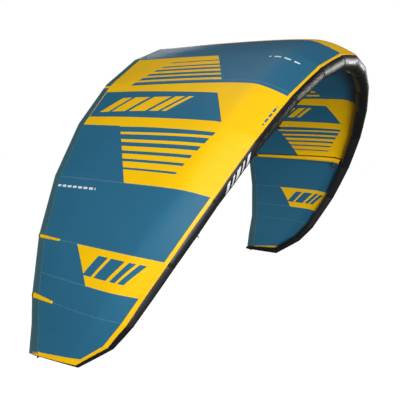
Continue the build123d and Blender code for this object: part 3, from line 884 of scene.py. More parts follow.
# %% [markdown]
# ## Tabs, zip and flaps
# The lines pull on folded webbing tabs sewn to the tube. Each one is a strip that lies on the tube
# and a loop that stands on it, with a round eye that stays open. A frame on the tube's skin says
# where such a part sits: its origin, the way along the tube and the way out of it.

# %% A frame on the tube's skin


def tube_frame(number, share, angle, side):
    """Origin, along, across and outward; angle is 0 at the front and 90 on top."""
    if number < tip_station:
        ends = seam_points[number], seam_points[number + 1]
        radii = radius_at(number), radius_at(number + 1)
        outward = mix(arch_outward(number), arch_outward(number + 1), share)
    else:
        ends = seam_points[tip_station], tip_end
        radii = corner_radius, tip_end_radius
        outward = arch_outward(tip_station)
    line = headings[number]
    outward = (outward - line * outward.dot(line)).normalized()
    spoke = line.cross(outward) * cos(radians(angle)) + outward * sin(radians(angle))
    surface = mix(*ends, share) + spoke * mix(*radii, share)
    along = (ends[1] + spoke * radii[1] - ends[0] - spoke * radii[0]).normalized()
    normal = spoke - along * spoke.dot(along)
    along, normal = mirrored(along, side), mirrored(normal, side).normalized()
    return mirrored(surface, side), along, normal.cross(along), normal, mix(*radii, share)


def on_frame(place, along, across, high):
    """A point over the tube's round skin, along and across the frame's origin."""
    origin, line, sideways, normal, radius = place
    turn = across / radius
    ring = sideways * (sin(turn) * (radius + high)) + normal * (cos(turn) * (radius + high) - radius)
    return origin + line * along + ring


print("top of the tube in the middle", [round(v, 3) for v in tube_frame(0, 0, 90, 1)[0]])


# %% Webbing tabs
tab_length = 0.070
tab_width = 0.016
eye_radius = 0.004
tab_thickness = 0.0022
eye_height = 0.0122


def make_tab(name, place):
    origin, line, sideways, normal, radius = place

    def strip_place(u, v):
        along = (u - 0.5) * tab_length
        across = (v - 0.5) * tab_width
        sewn = 0.0003 * cos(2 * pi * along / 0.014) * (1 if abs(along) > 0.008 else 0)
        high = 0.0019 - sewn - 0.0004 * (abs(2 * v - 1) ** 6)
        return on_frame(place, along, across, high), (along, across), (u, v)

    loop_radius = eye_radius + tab_thickness / 2
    leg = 0.0014
    opening = 0.26

    def loop_place(u, v):
        across = (v - 0.5) * tab_width
        if u < 0.15 or u > 0.85:
            foot = min(u, 1 - u) / 0.15
            along = -leg if u < 0.5 else leg
            high = mix(0.002, eye_height - loop_radius * cos(opening), foot)
        else:
            turn = mix(1.5 * pi - opening, -0.5 * pi + opening, (u - 0.15) / 0.7)
            along = loop_radius * cos(turn)
            high = eye_height + loop_radius * sin(turn)
        spot = origin + line * along + sideways * across + normal * high
        return spot, (u * 0.05, across), (u, v)

    strip = bent_grid(f"{name}_strip", 40, 10, strip_place, lambda point: normal)
    loop_middle = origin + normal * eye_height
    loop = bent_grid(f"{name}_loop", 60, 10, loop_place, lambda point: point - loop_middle)
    return [strip, loop]


for side, hand in ((1, "right"), (-1, "left")):
    tabs = []
    for number in (1, 3, 5):
        tabs += make_tab(f"bridle_{number}", tube_frame(number, 0.5, -38, side))
    bridle_tabs = joined(f"webbing_tabs_{hand}", tabs)
    back_tab = joined(f"back_webbing_{hand}", make_tab("back", tube_frame(9, 0.86, 0, side)))
    print(hand, "tabs", len(tabs) // 2 + 1)
    for piece, node in ((bridle_tabs, f"bridle_tabs_{hand}"), (back_tab, f"back_line_tab_{hand}")):
        thicken(piece, tab_thickness, inwards=False)
        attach(piece, kite)
        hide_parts(node)

# %% [markdown]
# ## The zip
# The bladder goes in through a zip along the tube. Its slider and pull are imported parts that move,
# so here only the cloth tape and the teeth are made: a bent grid with a ridge on each side, and one
# small block for each tooth, set in two rows half a step apart.

# %% Zip
zip_place = tube_frame(0, 0.5, 248, -1)
zip_length = 0.330
zip_width = 0.024
tape_top = 0.0017
tooth_pitch = 0.0026


def tape_spot(u, v):
    along = (u - 0.5) * zip_length
    corner = min(1.0, (zip_length / 2 - abs(along)) / 0.004)
    half = zip_width / 2 * (0.75 + 0.25 * sqrt(max(0.0, 1 - (1 - corner) ** 2)))
    across = (2 * v - 1) * half
    ridge = 0.0003 * exp(-(((abs(across) - 0.009) / 0.0006) ** 2))
    return on_frame(zip_place, along, across, tape_top - ridge), (along, across), (u, v)


zip_tape = bent_grid("zip_cloth", 90, 16, tape_spot, lambda point: zip_place[3])
thicken(zip_tape, 0.0009)
zip_teeth_shape = bmesh.new()
origin, line, sideways, normal, radius = zip_place
tooth_span = zip_length - zip_width - 0.006
for index in range(int(tooth_span / tooth_pitch)):
    along = (index + 0.5) * tooth_pitch - tooth_span / 2
    for way in (1, -1):
        made = bmesh.ops.create_cube(zip_teeth_shape, size=1)["verts"]
        bmesh.ops.scale(zip_teeth_shape, verts=made, vec=(0.0014, 0.0028, 0.0018))
        shift = along + way * tooth_pitch / 4
        for vert in made:
            local = vert.co.copy()
            high = tape_top + 0.0009 + local.z
            vert.co = on_frame(zip_place, shift + local.x, way * 0.0010 + local.y, high)
for way in (1, -1):
    made = bmesh.ops.create_cube(zip_teeth_shape, size=1)["verts"]
    bmesh.ops.scale(zip_teeth_shape, verts=made, vec=(0.0038, 0.0105, 0.0034))
    for vert in made:
        local = vert.co.copy()
        shift = way * (zip_length - zip_width) / 2
        vert.co = on_frame(zip_place, shift + local.x, local.y, tape_top + 0.0017 + local.z)
zip_teeth_mesh = bpy.data.meshes.new("zip_teeth")
zip_teeth_shape.to_mesh(zip_teeth_mesh)
zip_teeth_shape.free()
zip_teeth = bpy.data.objects.new("zip_teeth", zip_teeth_mesh)
bpy.context.scene.collection.objects.link(zip_teeth)
for piece in (zip_tape, zip_teeth):
    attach(piece, kite)
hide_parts("zip_tape")
print("zip has", len(zip_teeth_mesh.polygons) // 6 - 2, "teeth")

# %% [markdown]
# ## The struts' flaps
# A round flap closes each strut's rear end and folds away on a stitched hinge, so that the bladder
# can be drawn out. The cloth disc rides on the flap's own body, so it swings with it.

# %% Flaps that close the struts
flap_drop = 0.0035
bead_size = 0.0012


def make_flap(hand):
    strut = struts[hand]
    centre, along, down = strut.ring(strut.stop)
    across = strut.section.across

    def flap_spot(u, v):
        turn = 2 * pi * u
        high = -cos(turn) * strut_rear_radius * v
        wide = sin(turn) * strut_rear_radius * v
        high = min(high, strut_rear_radius - flap_drop)
        dish = 0.0012 + 0.0011 * (1 - v * v) + 0.0002 * sin(5 * turn) * v
        spot = centre - down * high + across * wide + along * dish
        return mirrored(spot, strut.side), (wide, high), (v, u)

    def bead_spot(u, v):
        turn = 2 * pi * v
        middle = centre - down * (strut_rear_radius - flap_drop) + along * (0.0004 + bead_size)
        round_bead = (down * cos(turn) + along * sin(turn)) * bead_size
        spot = middle + across * (u - 0.5) * 0.020 + round_bead
        return mirrored(spot, strut.side), (u * 0.020, turn * bead_size), (2, v)

    facing = mirrored(along, strut.side)
    middle = mirrored(centre - down * (strut_rear_radius - flap_drop), strut.side)
    disc = bent_grid(f"disc_{hand}", 48, 10, flap_spot, lambda point: facing, round_it=True)
    bead = bent_grid(f"bead_{hand}", 6, 12, bead_spot, lambda point: point - middle, round_it=True)
    return joined(f"end_flap_cloth_{hand}", [disc, bead])


for hand in strut_seams:
    flap = make_flap(hand)
    thicken(flap, 0.0006)
    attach(flap, f"end_flap_{hand}")
    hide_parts(f"strut_end_flap_{hand}")
    print(hand, "flap", len(flap.data.polygons), "faces")

# %% [markdown]
# ## Finishes
# Each finish is a small tree of nodes. Written out node by node such a tree is hard to read, so a
# socket is wrapped in a class that understands arithmetic: an expression in Python adds the Math
# nodes. Masks that say "inside this stripe" are then plain comparisons of where a point lies.

# %% Helper: shader maths as expressions


class Mask:
    """A number that varies over a surface, with Python's arithmetic."""

    def __init__(self, finish, socket):
        self.finish = finish
        self.socket = socket

    def math(self, operation, *values):
        settings = {"operation": operation}
        return self.finish.add("ShaderNodeMath", settings, dict(enumerate(values)))

    def __add__(self, other):
        return self.math("ADD", self, other)

    def __sub__(self, other):
        return self.math("SUBTRACT", self, other)

    def __rsub__(self, other):
        return self.math("SUBTRACT", other, self)

    def __mul__(self, other):
        return self.math("MULTIPLY", self, other)

    def __truediv__(self, other):
        return self.math("DIVIDE", self, other)

    def __gt__(self, other):
        return self.math("GREATER_THAN", self, other)

    def __lt__(self, other):
        return self.math("LESS_THAN", self, other)

    def __or__(self, other):
        return self.math("MAXIMUM", self, other)

    def __abs__(self):
        return self.math("ABSOLUTE", self)

    def repeat(self, length):
        """Runs from 0 to 1 over each length, again and again."""
        return self.math("FRACT", self / length)

    __radd__ = __add__
    __rmul__ = __mul__
    __and__ = __mul__


class Finish:
    """A material under construction."""

    def __init__(self, name, roughness=0.5, **uniform):
        self.material = bpy.data.materials.new(name)
        self.material.use_nodes = True
        self.tree = self.material.node_tree
        self.shader = self.tree.nodes["Principled BSDF"]
        self.shader.inputs["Roughness"].default_value = roughness
        for socket, value in uniform.items():
            self.shader.inputs[socket.replace("_", " ")].default_value = value

    def connect(self, value, socket):
        if isinstance(value, Mask):
            self.tree.links.new(value.socket, socket)
        else:
            socket.default_value = value

    def add(self, kind, settings, values, output=0):
        """Adds any node: its settings first, then the values or links of its sockets."""
        node = self.tree.nodes.new(kind)
        for name, value in settings.items():
            setattr(node, name, value)
        for name, value in values.items():
            self.connect(value, node.inputs[name])
        return Mask(self, node.outputs[output])

    def feed(self, **values):
        for name, value in values.items():
            self.connect(value, self.shader.inputs[name.replace("_", " ")])
        return self.material

    def uv(self, layer):
        return self.add("ShaderNodeUVMap", {"uv_map": layer}, {})

    def split(self, vector):
        node = self.tree.nodes.new("ShaderNodeSeparateXYZ")
        self.connect(vector, node.inputs[0])
        return Mask(self, node.outputs[0]), Mask(self, node.outputs[1])

    def blend(self, low, high, mask):
        """One colour where the mask is 0, and the other where it is 1."""
        settings = {"data_type": "RGBA"}
        return self.add("ShaderNodeMix", settings, {0: mask, 6: low, 7: high}, output=2)

    def noise(self, vector, scale, detail=3.0):
        values = {"Vector": vector, "Scale": scale, "Detail": detail}
        return self.add("ShaderNodeTexNoise", {}, values)

    def bump(self, height, distance, strength=1.0, under=None):
        values = {"Height": height, "Distance": distance, "Strength": strength}
        if under is not None:
            values["Normal"] = under
        return self.add("ShaderNodeBump", {}, values)


def paint(red, green, blue):
    """A colour given as 0 to 255 screen values, as Blender's linear light."""
    linear = []
    for value in (red, green, blue):
        value /= 255
        linear.append(value / 12.92 if value <= 0.04045 else ((value + 0.055) / 1.055) ** 2.4)
    return (*linear, 1.0)


def wear(piece, material):
    """Gives a piece its material in every slot."""
    piece.data.materials.clear()
    piece.data.materials.append(material)


def dress(start, finish):
    """Gives a finish to each piece whose name starts so."""
    for piece in bpy.data.objects:
        if piece.name.startswith(start) and piece.type == "MESH":
            wear(piece, finish.material)


print("shader helpers ready")

# %% [markdown]
# ## The canopy's colours
# The panels are cut from yellow and blue ripstop and sewn edge to edge, so the colours change along
# straight lines. A painted image could hold them, but the layout map already says where each point
# lies: how far out along the wing, counted in seams, and how far back along the chord. So every
# panel is a comparison of those two numbers, and the pattern stays sharp at any distance.

# %% Helper: cloth
canopy_yellow = paint(250, 197, 6)
canopy_blue = paint(42, 104, 135)


def any_of(masks):
    """A mask that is 1 wherever one of the masks is 1."""
    whole = masks[0]
    for mask in masks[1:]:
        whole = whole | mask
    return whole


def ripstop(finish, weave):
    """The height of ripstop cloth: a heavier thread every five millimetres, both ways."""
    return any_of([way.repeat(0.005) > 0.86 for way in finish.split(weave)])


def stripe(value, low, high):
    """A mask that is 1 between two limits, which may be masks themselves."""
    return (value > low) & (value < high)


def stripes(value, spans):
    """A mask that is 1 inside any of several spans, each a low and a high limit."""
    return any_of([stripe(value, low, high) for low, high in spans])


def bars_at(value, middles):
    """A mask of bars, each given as its middle and half its width."""
    return stripes(value, [(middle - half, middle + half) for middle, half in middles])


print("yellow", [round(v, 3) for v in canopy_yellow], "blue", [round(v, 3) for v in canopy_blue])


# %% Where a point of the canopy lies
cloth = Finish("canopy ripstop", roughness=0.5, Specular_IOR_Level=0.22)
weave = cloth.uv("weave")
station, chord = cloth.split(cloth.uv("layout"))
station = abs(station)
spot = cloth.add("ShaderNodeTexCoord", {}, {}, output=3)
facing = cloth.add("ShaderNodeTexCoord", {}, {}, output=1)
away = {0: spot, 1: (0.6, 0, 1), 2: (0, 0, 1.6)}
away = cloth.add("ShaderNodeVectorMath", {"operation": "MULTIPLY_ADD"}, away)
turned = cloth.add("ShaderNodeVectorMath", {"operation": "DOT_PRODUCT"}, {0: facing, 1: away}, output=1)
outer_face = turned > 0
print("canopy cloth starts with", len(cloth.tree.nodes), "nodes")

# %% Yellow shoulder with blue lines
shoulder = (station > (0.965 - chord) * 0.165 + 2.02) & (station < 3.07)
shoulder = shoulder & (chord < 0.965) & (chord > 0.48 - (station - 2.10) * 0.176)
shoulder_bars = (
    (2.31, 0.018), (2.48, 0.024), (2.61, 0.031), (2.75, 0.035), (2.88, 0.042), (3.03, 0.052)
)
shoulder_lines = bars_at(station, shoulder_bars) & (chord < (station - 2.31) * 0.151 + 0.712)
upper_yellow = (station < 1.0) | (shoulder & (1 - shoulder_lines))
print("shoulder lines", len(shoulder_bars))

# %% Blue band with slanted bars
band_start = (0.955 - chord) * 0.163 + 3.207
band_stop = (0.963 - chord) * 0.096 + 3.823
blue_band = stripe(station, band_start, band_stop) & (chord < 0.960)
blue_band = blue_band & (chord > 0.287 - (station - 3.316) * 0.2106)
slant = (chord - 0.645) - (station - 3.56) * 0.30
band_bars = ((-0.19, 0.014), (-0.13, 0.026), (-0.03, 0.050), (0.09, 0.044), (0.185, 0.030))
blue_band = blue_band & (1 - (stripe(station, 3.40, 3.72) & bars_at(slant, band_bars)))
print("bars on the blue band", len(band_bars))

# %% Lower panel with speed lines
rear_blue = chord > 0.683 - (station - 4.15) * 0.223
line_spans = (
    (4.05, 4.15), (4.195, 4.285), (4.338, 4.407), (4.485, 4.536), (4.62, 4.662), (4.761, 4.793)
)
speed_lines = stripes(station, line_spans) & (chord > (station - 4.09) * 0.0957 + 0.156)
lower_blue = (station > (0.96 - chord) * 0.1 + 4.009) & (rear_blue | speed_lines)
middle_yellow = stripe(station, 3.07, 5.0) & (1 - blue_band) & (1 - lower_blue)
print("speed lines", len(line_spans))

# %% Panel near the tip, and the tip's edge
size_panel = stripe(station, 6.0, 6.58) & (chord < 0.643 - (station - 6.0) * 0.329)
size_slant = (chord - 0.30) - (station - 6.25) * 0.22
size_bars = ((-0.150, 0.022), (-0.085, 0.022), (0.02, 0.052), (0.135, 0.038))
size_marks = bars_at(size_slant, size_bars) & stripe(station, 6.10, 6.43)
tip_yellow = station > (chord - 0.2) * 0.23 + 8.745
yellow = upper_yellow | middle_yellow | (size_panel & (1 - size_marks)) | tip_yellow
print("bars on the tip panel", len(size_bars))

# %% Small dashes, on the outer face only
blue_dashes = stripe(station, 3.32, 3.73) & stripe(chord, 0.008, 0.017)
blue_dashes = blue_dashes & (station.repeat(1 / 9) > 0.3) & outer_face
yellow = yellow & (1 - blue_dashes)
upper_dashes = stripe(station, 2.195, 2.235) & stripe(chord, 0.066, 0.206)
upper_dashes = upper_dashes & (chord.repeat(1 / 22) > 0.34)
lower_dashes = stripe(station, 5.13, 5.165) & stripe(chord, 0.66, 0.96)
lower_dashes = lower_dashes & (chord.repeat(1 / 24) > 0.3)
white = (upper_dashes | lower_dashes) & outer_face
print("colour masks take", len(cloth.tree.nodes), "nodes")

# %% Seams, stitches and folds of the canopy
soil = cloth.noise(weave, 3.0, 4.0)
grid = ripstop(cloth, weave)
seam_line = bars_at(station, [(seam, 0.011) for seam in panel_seams])
stitch_rows = [(seam + row, 0.0016) for seam in panel_seams for row in (-0.008, 0.008)]
span, back = cloth.split(weave)
stitches = bars_at(station, stitch_rows) & (back.repeat(0.006) > 0.35)
base = cloth.blend(canopy_blue, canopy_yellow, yellow)
base = cloth.blend(base, paint(225, 232, 236), white)
shade = cloth.blend(base, (0, 0, 0, 1), (soil - 0.4) * 0.12 + grid * 0.06)
colour = cloth.blend(shade, (0.75, 0.8, 0.8, 1), seam_line * 0.025)
colour = cloth.blend(colour, (0.85, 0.85, 0.8, 1), stitches * 0.12)
fine = cloth.bump(grid, 0.0002, 0.5)
folds = cloth.noise(weave, 9.0, 2.0)
relief = cloth.bump(seam_line * 0.5 + folds * 1.2, 0.0012, 0.6, under=fine)
cloth.feed(Base_Color=colour, Roughness=soil * 0.12 + 0.44, Normal=relief)
wear(canopy, cloth.material)
print("canopy cloth has", len(cloth.tree.nodes), "nodes")

# %% [markdown]
# ## Cloth of the edges, tube and struts
# The same helpers dress the narrow strips and the tubes. A band shows its stitch rows, a tube its
# heavier weave, dust and seam tapes, and webbing its ribs. One flat colour would look like paint, so
# every finish mixes a little noise into its colour, its roughness and its bump.

# %% Band
band_cloth = Finish("stiff band cloth", roughness=0.5, Specular_IOR_Level=0.35)
band_weave = band_cloth.uv("weave")
band_grid = ripstop(band_cloth, band_weave)
band_soil = band_cloth.noise(band_weave, 6.0, 4.0)
band_station, band_across = band_cloth.split(band_cloth.uv("layout"))
mark = stripe(band_station, 3.045, 3.095) | (band_station < 1.0)
band_tone = band_cloth.blend(paint(58, 98, 108), canopy_yellow, mark)
band_tone = band_cloth.blend(band_tone, (0, 0, 0, 1), (band_soil - 0.4) * 0.2 + band_grid * 0.08)
across_band = abs(band_across)
band_stitch = stripe(across_band, 0.95, 0.962) | stripe(across_band, 0.2, 0.212)
band_tone = band_cloth.blend(band_tone, (0.6, 0.65, 0.65, 1), band_stitch * 0.35)
band_relief = band_cloth.bump(band_grid + band_soil, 0.0004, 0.6)
band_cloth.feed(Base_Color=band_tone, Roughness=band_soil * 0.2 + 0.4, Normal=band_relief)
dress("trailing_band", band_cloth)
print("band cloth has", len(band_cloth.tree.nodes), "nodes")

# %% Yellow binding
trim_cloth = Finish("yellow binding", roughness=0.45, Specular_IOR_Level=0.35)
trim_weave = trim_cloth.uv("weave")
trim_soil = trim_cloth.noise(trim_weave, 12.0, 4.0)
trim_span, trim_across = trim_cloth.split(trim_weave)
trim_dash = trim_span.repeat(0.005) > 0.4
trim_line = stripe(trim_across, 0.0100, 0.0112) & trim_dash
trim_tone = trim_cloth.blend(canopy_yellow, (0.02, 0.012, 0, 1), (trim_soil - 0.4) * 0.25)
trim_tone = trim_cloth.blend(trim_tone, (0.45, 0.3, 0.02, 1), trim_line * 0.5)
trim_relief = trim_cloth.bump(trim_soil - trim_line, 0.0004, 0.7)
trim_cloth.feed(Base_Color=trim_tone, Roughness=trim_soil * 0.2 + 0.36, Normal=trim_relief)
dress("yellow_trim", trim_cloth)
print("binding has", len(trim_cloth.tree.nodes), "nodes")

# %% Leading edge cloth
sleeve_cloth = Finish("leading edge cloth", roughness=0.4, Specular_IOR_Level=0.45)
sleeve_weave = sleeve_cloth.uv("weave")
sleeve_place, sleeve_turn = sleeve_cloth.split(sleeve_cloth.uv("layout"))
sleeve_place = abs(sleeve_place)
sleeve_soil = sleeve_cloth.noise(sleeve_weave, 7.0, 5.0)
sleeve_grid = ripstop(sleeve_cloth, sleeve_weave)
# Painted sheen: the segments from seam 4 to seam 7 are painted a lighter grey, most on the last of them,
# for the grey gloss of the light on the tube there.
painted_sheen = stripe(sleeve_place, 4.0, 5.0) * 0.35 + stripe(sleeve_place, 5.0, 6.0) * 0.6
painted_sheen = painted_sheen + stripe(sleeve_place, 6.0, 7.0) * 1.0
sleeve_tone = sleeve_cloth.blend(paint(9, 9, 10), paint(40, 41, 44), painted_sheen)
seam_away = abs(sleeve_place - sleeve_place.math("ROUND", sleeve_place))
tape_mask = seam_away < 0.022
sleeve_tone = sleeve_cloth.blend(sleeve_tone, paint(8, 8, 10), tape_mask)
sleeve_dust = sleeve_soil * 0.2 + sleeve_grid * 0.1
sleeve_tone = sleeve_cloth.blend(sleeve_tone, (0.05, 0.05, 0.055, 1), sleeve_dust)
bar_slant = sleeve_place - (sleeve_turn - 0.22) * 1.1
wide_bars = ((4.26, 0.035), (4.38, 0.02), (4.50, 0.045), (4.62, 0.02), (4.74, 0.035))
white_bars = bars_at(bar_slant, wide_bars) & stripe(sleeve_turn, 0.16, 0.28)
small_bars = stripe(sleeve_place, 0.25, 0.75) & stripe(sleeve_turn, 0.25, 0.30)
small_bars = small_bars & (sleeve_place.repeat(1 / 11) > 0.3)
sleeve_tone = sleeve_cloth.blend(sleeve_tone, paint(225, 226, 228), white_bars | small_bars)
fold_noise = sleeve_cloth.noise(sleeve_weave, 14.0, 2.0)
sleeve_relief = sleeve_cloth.bump(sleeve_grid * 0.4 + fold_noise * 2.0 + tape_mask, 0.0008, 0.5)
sleeve_gloss = sleeve_soil * 0.18 + 0.32 + tape_mask * 0.12
sleeve_cloth.feed(Base_Color=sleeve_tone, Roughness=sleeve_gloss, Normal=sleeve_relief)
dress("sleeve_", sleeve_cloth)
print("leading edge cloth has", len(sleeve_cloth.tree.nodes), "nodes")

# %% Strut cloth
strut_cloth = Finish("strut cloth", roughness=0.45, Specular_IOR_Level=0.35)
strut_weave = strut_cloth.uv("weave")
strut_soil = strut_cloth.noise(strut_weave, 9.0, 4.0)
strut_grid = ripstop(strut_cloth, strut_weave)
strut_back, strut_round = strut_cloth.split(strut_cloth.uv("layout"))
strut_ends = (strut_back < 0.055) | stripes(strut_round, ((0.40, 0.415), (0.585, 0.60)))
strut_seam = stripes(strut_round, ((0.245, 0.255), (0.745, 0.755)))
strut_tone = strut_cloth.blend(canopy_yellow, paint(22, 22, 24), strut_ends)
strut_shade = (strut_soil - 0.4) * 0.2 + strut_seam * 0.3
strut_tone = strut_cloth.blend(strut_tone, (0.02, 0.015, 0, 1), strut_shade)
strut_relief = strut_cloth.bump(strut_grid + strut_soil, 0.0004, 0.6)
strut_cloth.feed(Base_Color=strut_tone, Roughness=strut_soil * 0.2 + 0.38, Normal=strut_relief)
for hand in strut_seams:
    wear(bpy.data.objects[f"strut_{hand}"], strut_cloth.material)
print("strut cloth has", len(strut_cloth.tree.nodes), "nodes")

# %% Black webbing
webbing = Finish("black webbing", roughness=0.7, Specular_IOR_Level=0.3)
webbing_weave = webbing.uv("weave")
rib_span = webbing.split(webbing_weave)[0]
ribs = abs(rib_span.repeat(0.0016) - 0.5) * 2.0
webbing_soil = webbing.noise(webbing_weave, 30.0, 4.0)
webbing_tone = webbing.blend(paint(14, 14, 15), paint(44, 44, 47), webbing_soil * 0.6 + ribs * 0.2)
webbing_relief = webbing.bump(ribs + webbing_soil, 0.0004, 0.8)
webbing.feed(Base_Color=webbing_tone, Roughness=webbing_soil * 0.2 + 0.6, Normal=webbing_relief)

dress("strut_tape", webbing)
print("webbing has", len(webbing.tree.nodes), "nodes")

# %% Patches, pockets and small soft pieces
patch_cloth = Finish("end patch cloth", roughness=0.6, Specular_IOR_Level=0.3)
patch_weave = patch_cloth.uv("weave")
patch_side, patch_long = patch_cloth.split(patch_cloth.uv("layout"))
patch_soil = patch_cloth.noise(patch_weave, 20.0, 4.0)
patch_border = (abs(patch_side) > 0.88) | (patch_long < 0.07) | (patch_long > 0.93)
patch_tone = patch_cloth.blend(paint(20, 20, 22), canopy_yellow, patch_border)
patch_tone = patch_cloth.blend(patch_tone, (0.01, 0.01, 0.01, 1), patch_soil * 0.3)
patch_relief = patch_cloth.bump(ripstop(patch_cloth, patch_weave) + patch_soil, 0.0004, 0.7)
patch_cloth.feed(Base_Color=patch_tone, Roughness=patch_soil * 0.2 + 0.5, Normal=patch_relief)
wear(patches, patch_cloth.material)

pocket_cloth = Finish("pocket cloth", roughness=0.5, Specular_IOR_Level=0.35)
pocket_weave = pocket_cloth.uv("weave")
pocket_along, pocket_across = pocket_cloth.split(pocket_cloth.uv("layout"))
pocket_soil = pocket_cloth.noise(pocket_weave, 25.0, 4.0)
pocket_stitch = stripe(abs(pocket_across), 0.86, 0.93)
pocket_tone = pocket_cloth.blend(canopy_yellow, paint(24, 24, 26), pocket_along < 0.06)
pocket_tone = pocket_cloth.blend(pocket_tone, (0.3, 0.2, 0.02, 1), pocket_stitch * 0.5)
pocket_tone = pocket_cloth.blend(pocket_tone, (0.02, 0.015, 0, 1), (pocket_soil - 0.4) * 0.25)
pocket_relief = pocket_cloth.bump(ripstop(pocket_cloth, pocket_weave) + pocket_soil, 0.0004, 0.7)
pocket_cloth.feed(Base_Color=pocket_tone, Roughness=pocket_soil * 0.2 + 0.42, Normal=pocket_relief)
dress("pockets_", pocket_cloth)
for start in ("seam_tapes", "webbing_tabs", "back_webbing", "end_flap_cloth", "zip_cloth"):
    dress(start, webbing)
print("patches, pockets and webbing have their cloth")

# %% [markdown]
# ## Moulded parts
# Valves, caps, hoses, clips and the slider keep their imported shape. They differ only in colour,
# gloss and grain, so one function builds every finish.

# %% Moulded parts, metal and film


def moulded(name, colour, dark, roughness, grain, **uniform):
    """Plastic or metal with fine mottling, dulled in patches as by handling and salt."""
    finish = Finish(name, roughness, **uniform)
    place = finish.add("ShaderNodeTexCoord", {}, {}, output=3)
    patches_of_wear = finish.noise(place, 38.0, 5.0)
    fine = finish.noise(place, grain, 2.0)
    tone = finish.blend(colour, dark, patches_of_wear * 0.55)
    relief = finish.bump(fine + patches_of_wear, 0.0002, 0.5)
    gloss = patches_of_wear * 0.3 + (roughness - 0.12)
    return finish.feed(Base_Color=tone, Roughness=gloss, Normal=relief)


bare_metal, worn_metal = paint(120, 122, 126), paint(70, 72, 76)
moulded_finishes = {
    "valve_body": moulded("valve plastic", paint(214, 216, 214), paint(170, 172, 170), 0.45, 900.0),
    "valve_cap": moulded("cap plastic", paint(70, 72, 75), paint(34, 35, 37), 0.45, 900.0),
    "air_hoses": moulded("hose silicone", paint(44, 46, 48), paint(24, 25, 27), 0.38, 600.0),
    "clip_bodies": moulded("clip plastic", paint(32, 33, 36), paint(16, 17, 19), 0.42, 900.0),
    "clip_lever": moulded("lever plastic", paint(186, 30, 26), paint(120, 16, 14), 0.42, 900.0),
    "battens": moulded("batten plastic", paint(232, 232, 226), paint(190, 190, 184), 0.4, 500.0),
    "bladder": moulded("bladder film", paint(198, 206, 210), paint(150, 160, 168), 0.35, 60.0),
    "zip_slider": moulded("slider metal", bare_metal, worn_metal, 0.35, 700.0, Metallic=1.0),
    "zip_pull": moulded("pull metal", bare_metal, worn_metal, 0.35, 700.0, Metallic=1.0),
    "zip_teeth": moulded("tooth plastic", paint(30, 30, 32), paint(14, 14, 16), 0.4, 700.0),
}
for name, finish in moulded_finishes.items():
    for piece in bpy.data.objects:
        if piece.type == "MESH" and name in piece.name:
            wear(piece, finish)
print("moulded finishes", len(moulded_finishes))
bare = [name for name, node in frame["nodes"].items() if not node.hide_render]
print("packed parts that show:", ", ".join(bare))

# %% [markdown]
# ## Studio
# The kite is shown alone over a pale floor. Two soft lights near the camera shape the near wing,
# and three weaker ones keep its back and its far side readable from other angles. Those three add
# almost no gloss, because at a grazing angle their reflections would wash out the cloth's colour.

# %% Floor and backdrop


def staged(name, shape, material):
    """Makes the floor or the backdrop: the camera sees it, but its light doesn't reach the kite."""
    mesh = bpy.data.meshes.new(name)
    shape.to_mesh(mesh)
    shape.free()
    scenery = bpy.data.objects.new(name, mesh)
    bpy.context.scene.collection.objects.link(scenery)
    scenery.visible_diffuse = False
    scenery.visible_glossy = False
    wear(scenery, material)
    return scenery


floor_drop = 1.5
floor_shape = bmesh.new()
bmesh.ops.create_grid(floor_shape, x_segments=1, y_segments=1, size=60)
floor_height = packed_box[0][2] - floor_drop
bmesh.ops.translate(floor_shape, verts=floor_shape.verts, vec=(0, 0, floor_height))
floor_paint = Finish("pale floor", roughness=0.9, Emission_Color=(1, 1, 1, 1), Emission_Strength=0.99)
floor_paint.shader.inputs["Base Color"].default_value = (0.05, 0.05, 0.05, 1)
staged("floor", floor_shape, floor_paint.material)

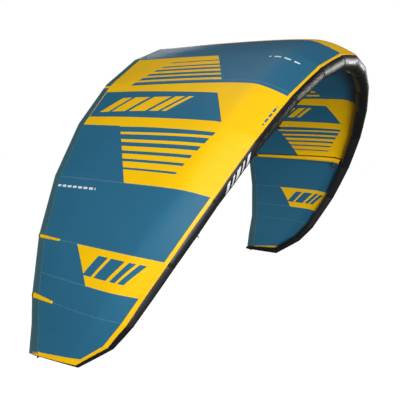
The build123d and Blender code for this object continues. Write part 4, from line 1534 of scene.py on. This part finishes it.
dome_shape = bmesh.new()
bmesh.ops.create_icosphere(dome_shape, subdivisions=4, radius=70)
glow = bpy.data.materials.new("backdrop white")
glow.use_nodes = True
glow.node_tree.nodes.clear()
emission = glow.node_tree.nodes.new("ShaderNodeEmission")
emission.inputs["Strength"].default_value = 1.0
output = glow.node_tree.nodes.new("ShaderNodeOutputMaterial")
glow.node_tree.links.new(emission.outputs[0], output.inputs["Surface"])
staged("backdrop", dome_shape, glow).visible_shadow = False
print("floor at", round(floor_height, 3))

# %% Lights and camera
world = bpy.data.worlds.new("studio")
world.use_nodes = True
world.node_tree.nodes["Background"].inputs["Color"].default_value = (1, 1, 1, 1)
world.node_tree.nodes["Background"].inputs["Strength"].default_value = 0.06
bpy.context.scene.world = world


def soft_light(name, place, target, size, power):
    lamp = bpy.data.lights.new(name, "AREA")
    lamp.shape = "DISK"
    lamp.size = size
    lamp.energy = power
    lamp_object = bpy.data.objects.new(name, lamp)
    lamp_object.location = place
    aim = (Vector(target) - Vector(place)).to_track_quat("-Z", "Y")
    lamp_object.rotation_euler = aim.to_euler()
    bpy.context.scene.collection.objects.link(lamp_object)
    return lamp_object


soft_light("key light", (-10.0, -6.0, 4.5), (-0.5, 0.8, -0.4), 5.0, 700)
front = soft_light("front light", (-12.5, -6.5, -1.6), (0, 0.8, -0.4), 4.0, 1300)
front.data.specular_factor = 0.5
for name, place, power in (
    ("top light", (1.0, 2.5, 9.0), 170),
    ("rear light", (9.0, 9.0, 3.0), 700),
    ("right light", (11.0, -6.0, 2.0), 700),
):
    soft_light(name, place, (0, 0.8, -0.4), 5.0, power).data.specular_factor = 0.05

camera_data = bpy.data.cameras.new("camera")
camera_data.lens = 45
camera_data.sensor_width = 36
camera = bpy.data.objects.new("camera", camera_data)
camera.location = (-4.890, -1.376, 0.0075)
azimuth, elevation = radians(-59.75), radians(8.33)
forward = Vector((-sin(azimuth) * cos(elevation), cos(azimuth) * cos(elevation), -sin(elevation)))
camera.rotation_euler = forward.to_track_quat("-Z", "Y").to_euler()
bpy.context.scene.collection.objects.link(camera)
bpy.context.scene.camera = camera
bpy.context.scene.view_settings.view_transform = "Standard"
bpy.context.scene.view_settings.look = "None"
print("camera looks along", [round(v, 3) for v in forward])

# %% Count the meshes and finish
everything = sorted({o.name for o in bpy.data.objects if o.type == "MESH"})
print(len(everything), "meshes")
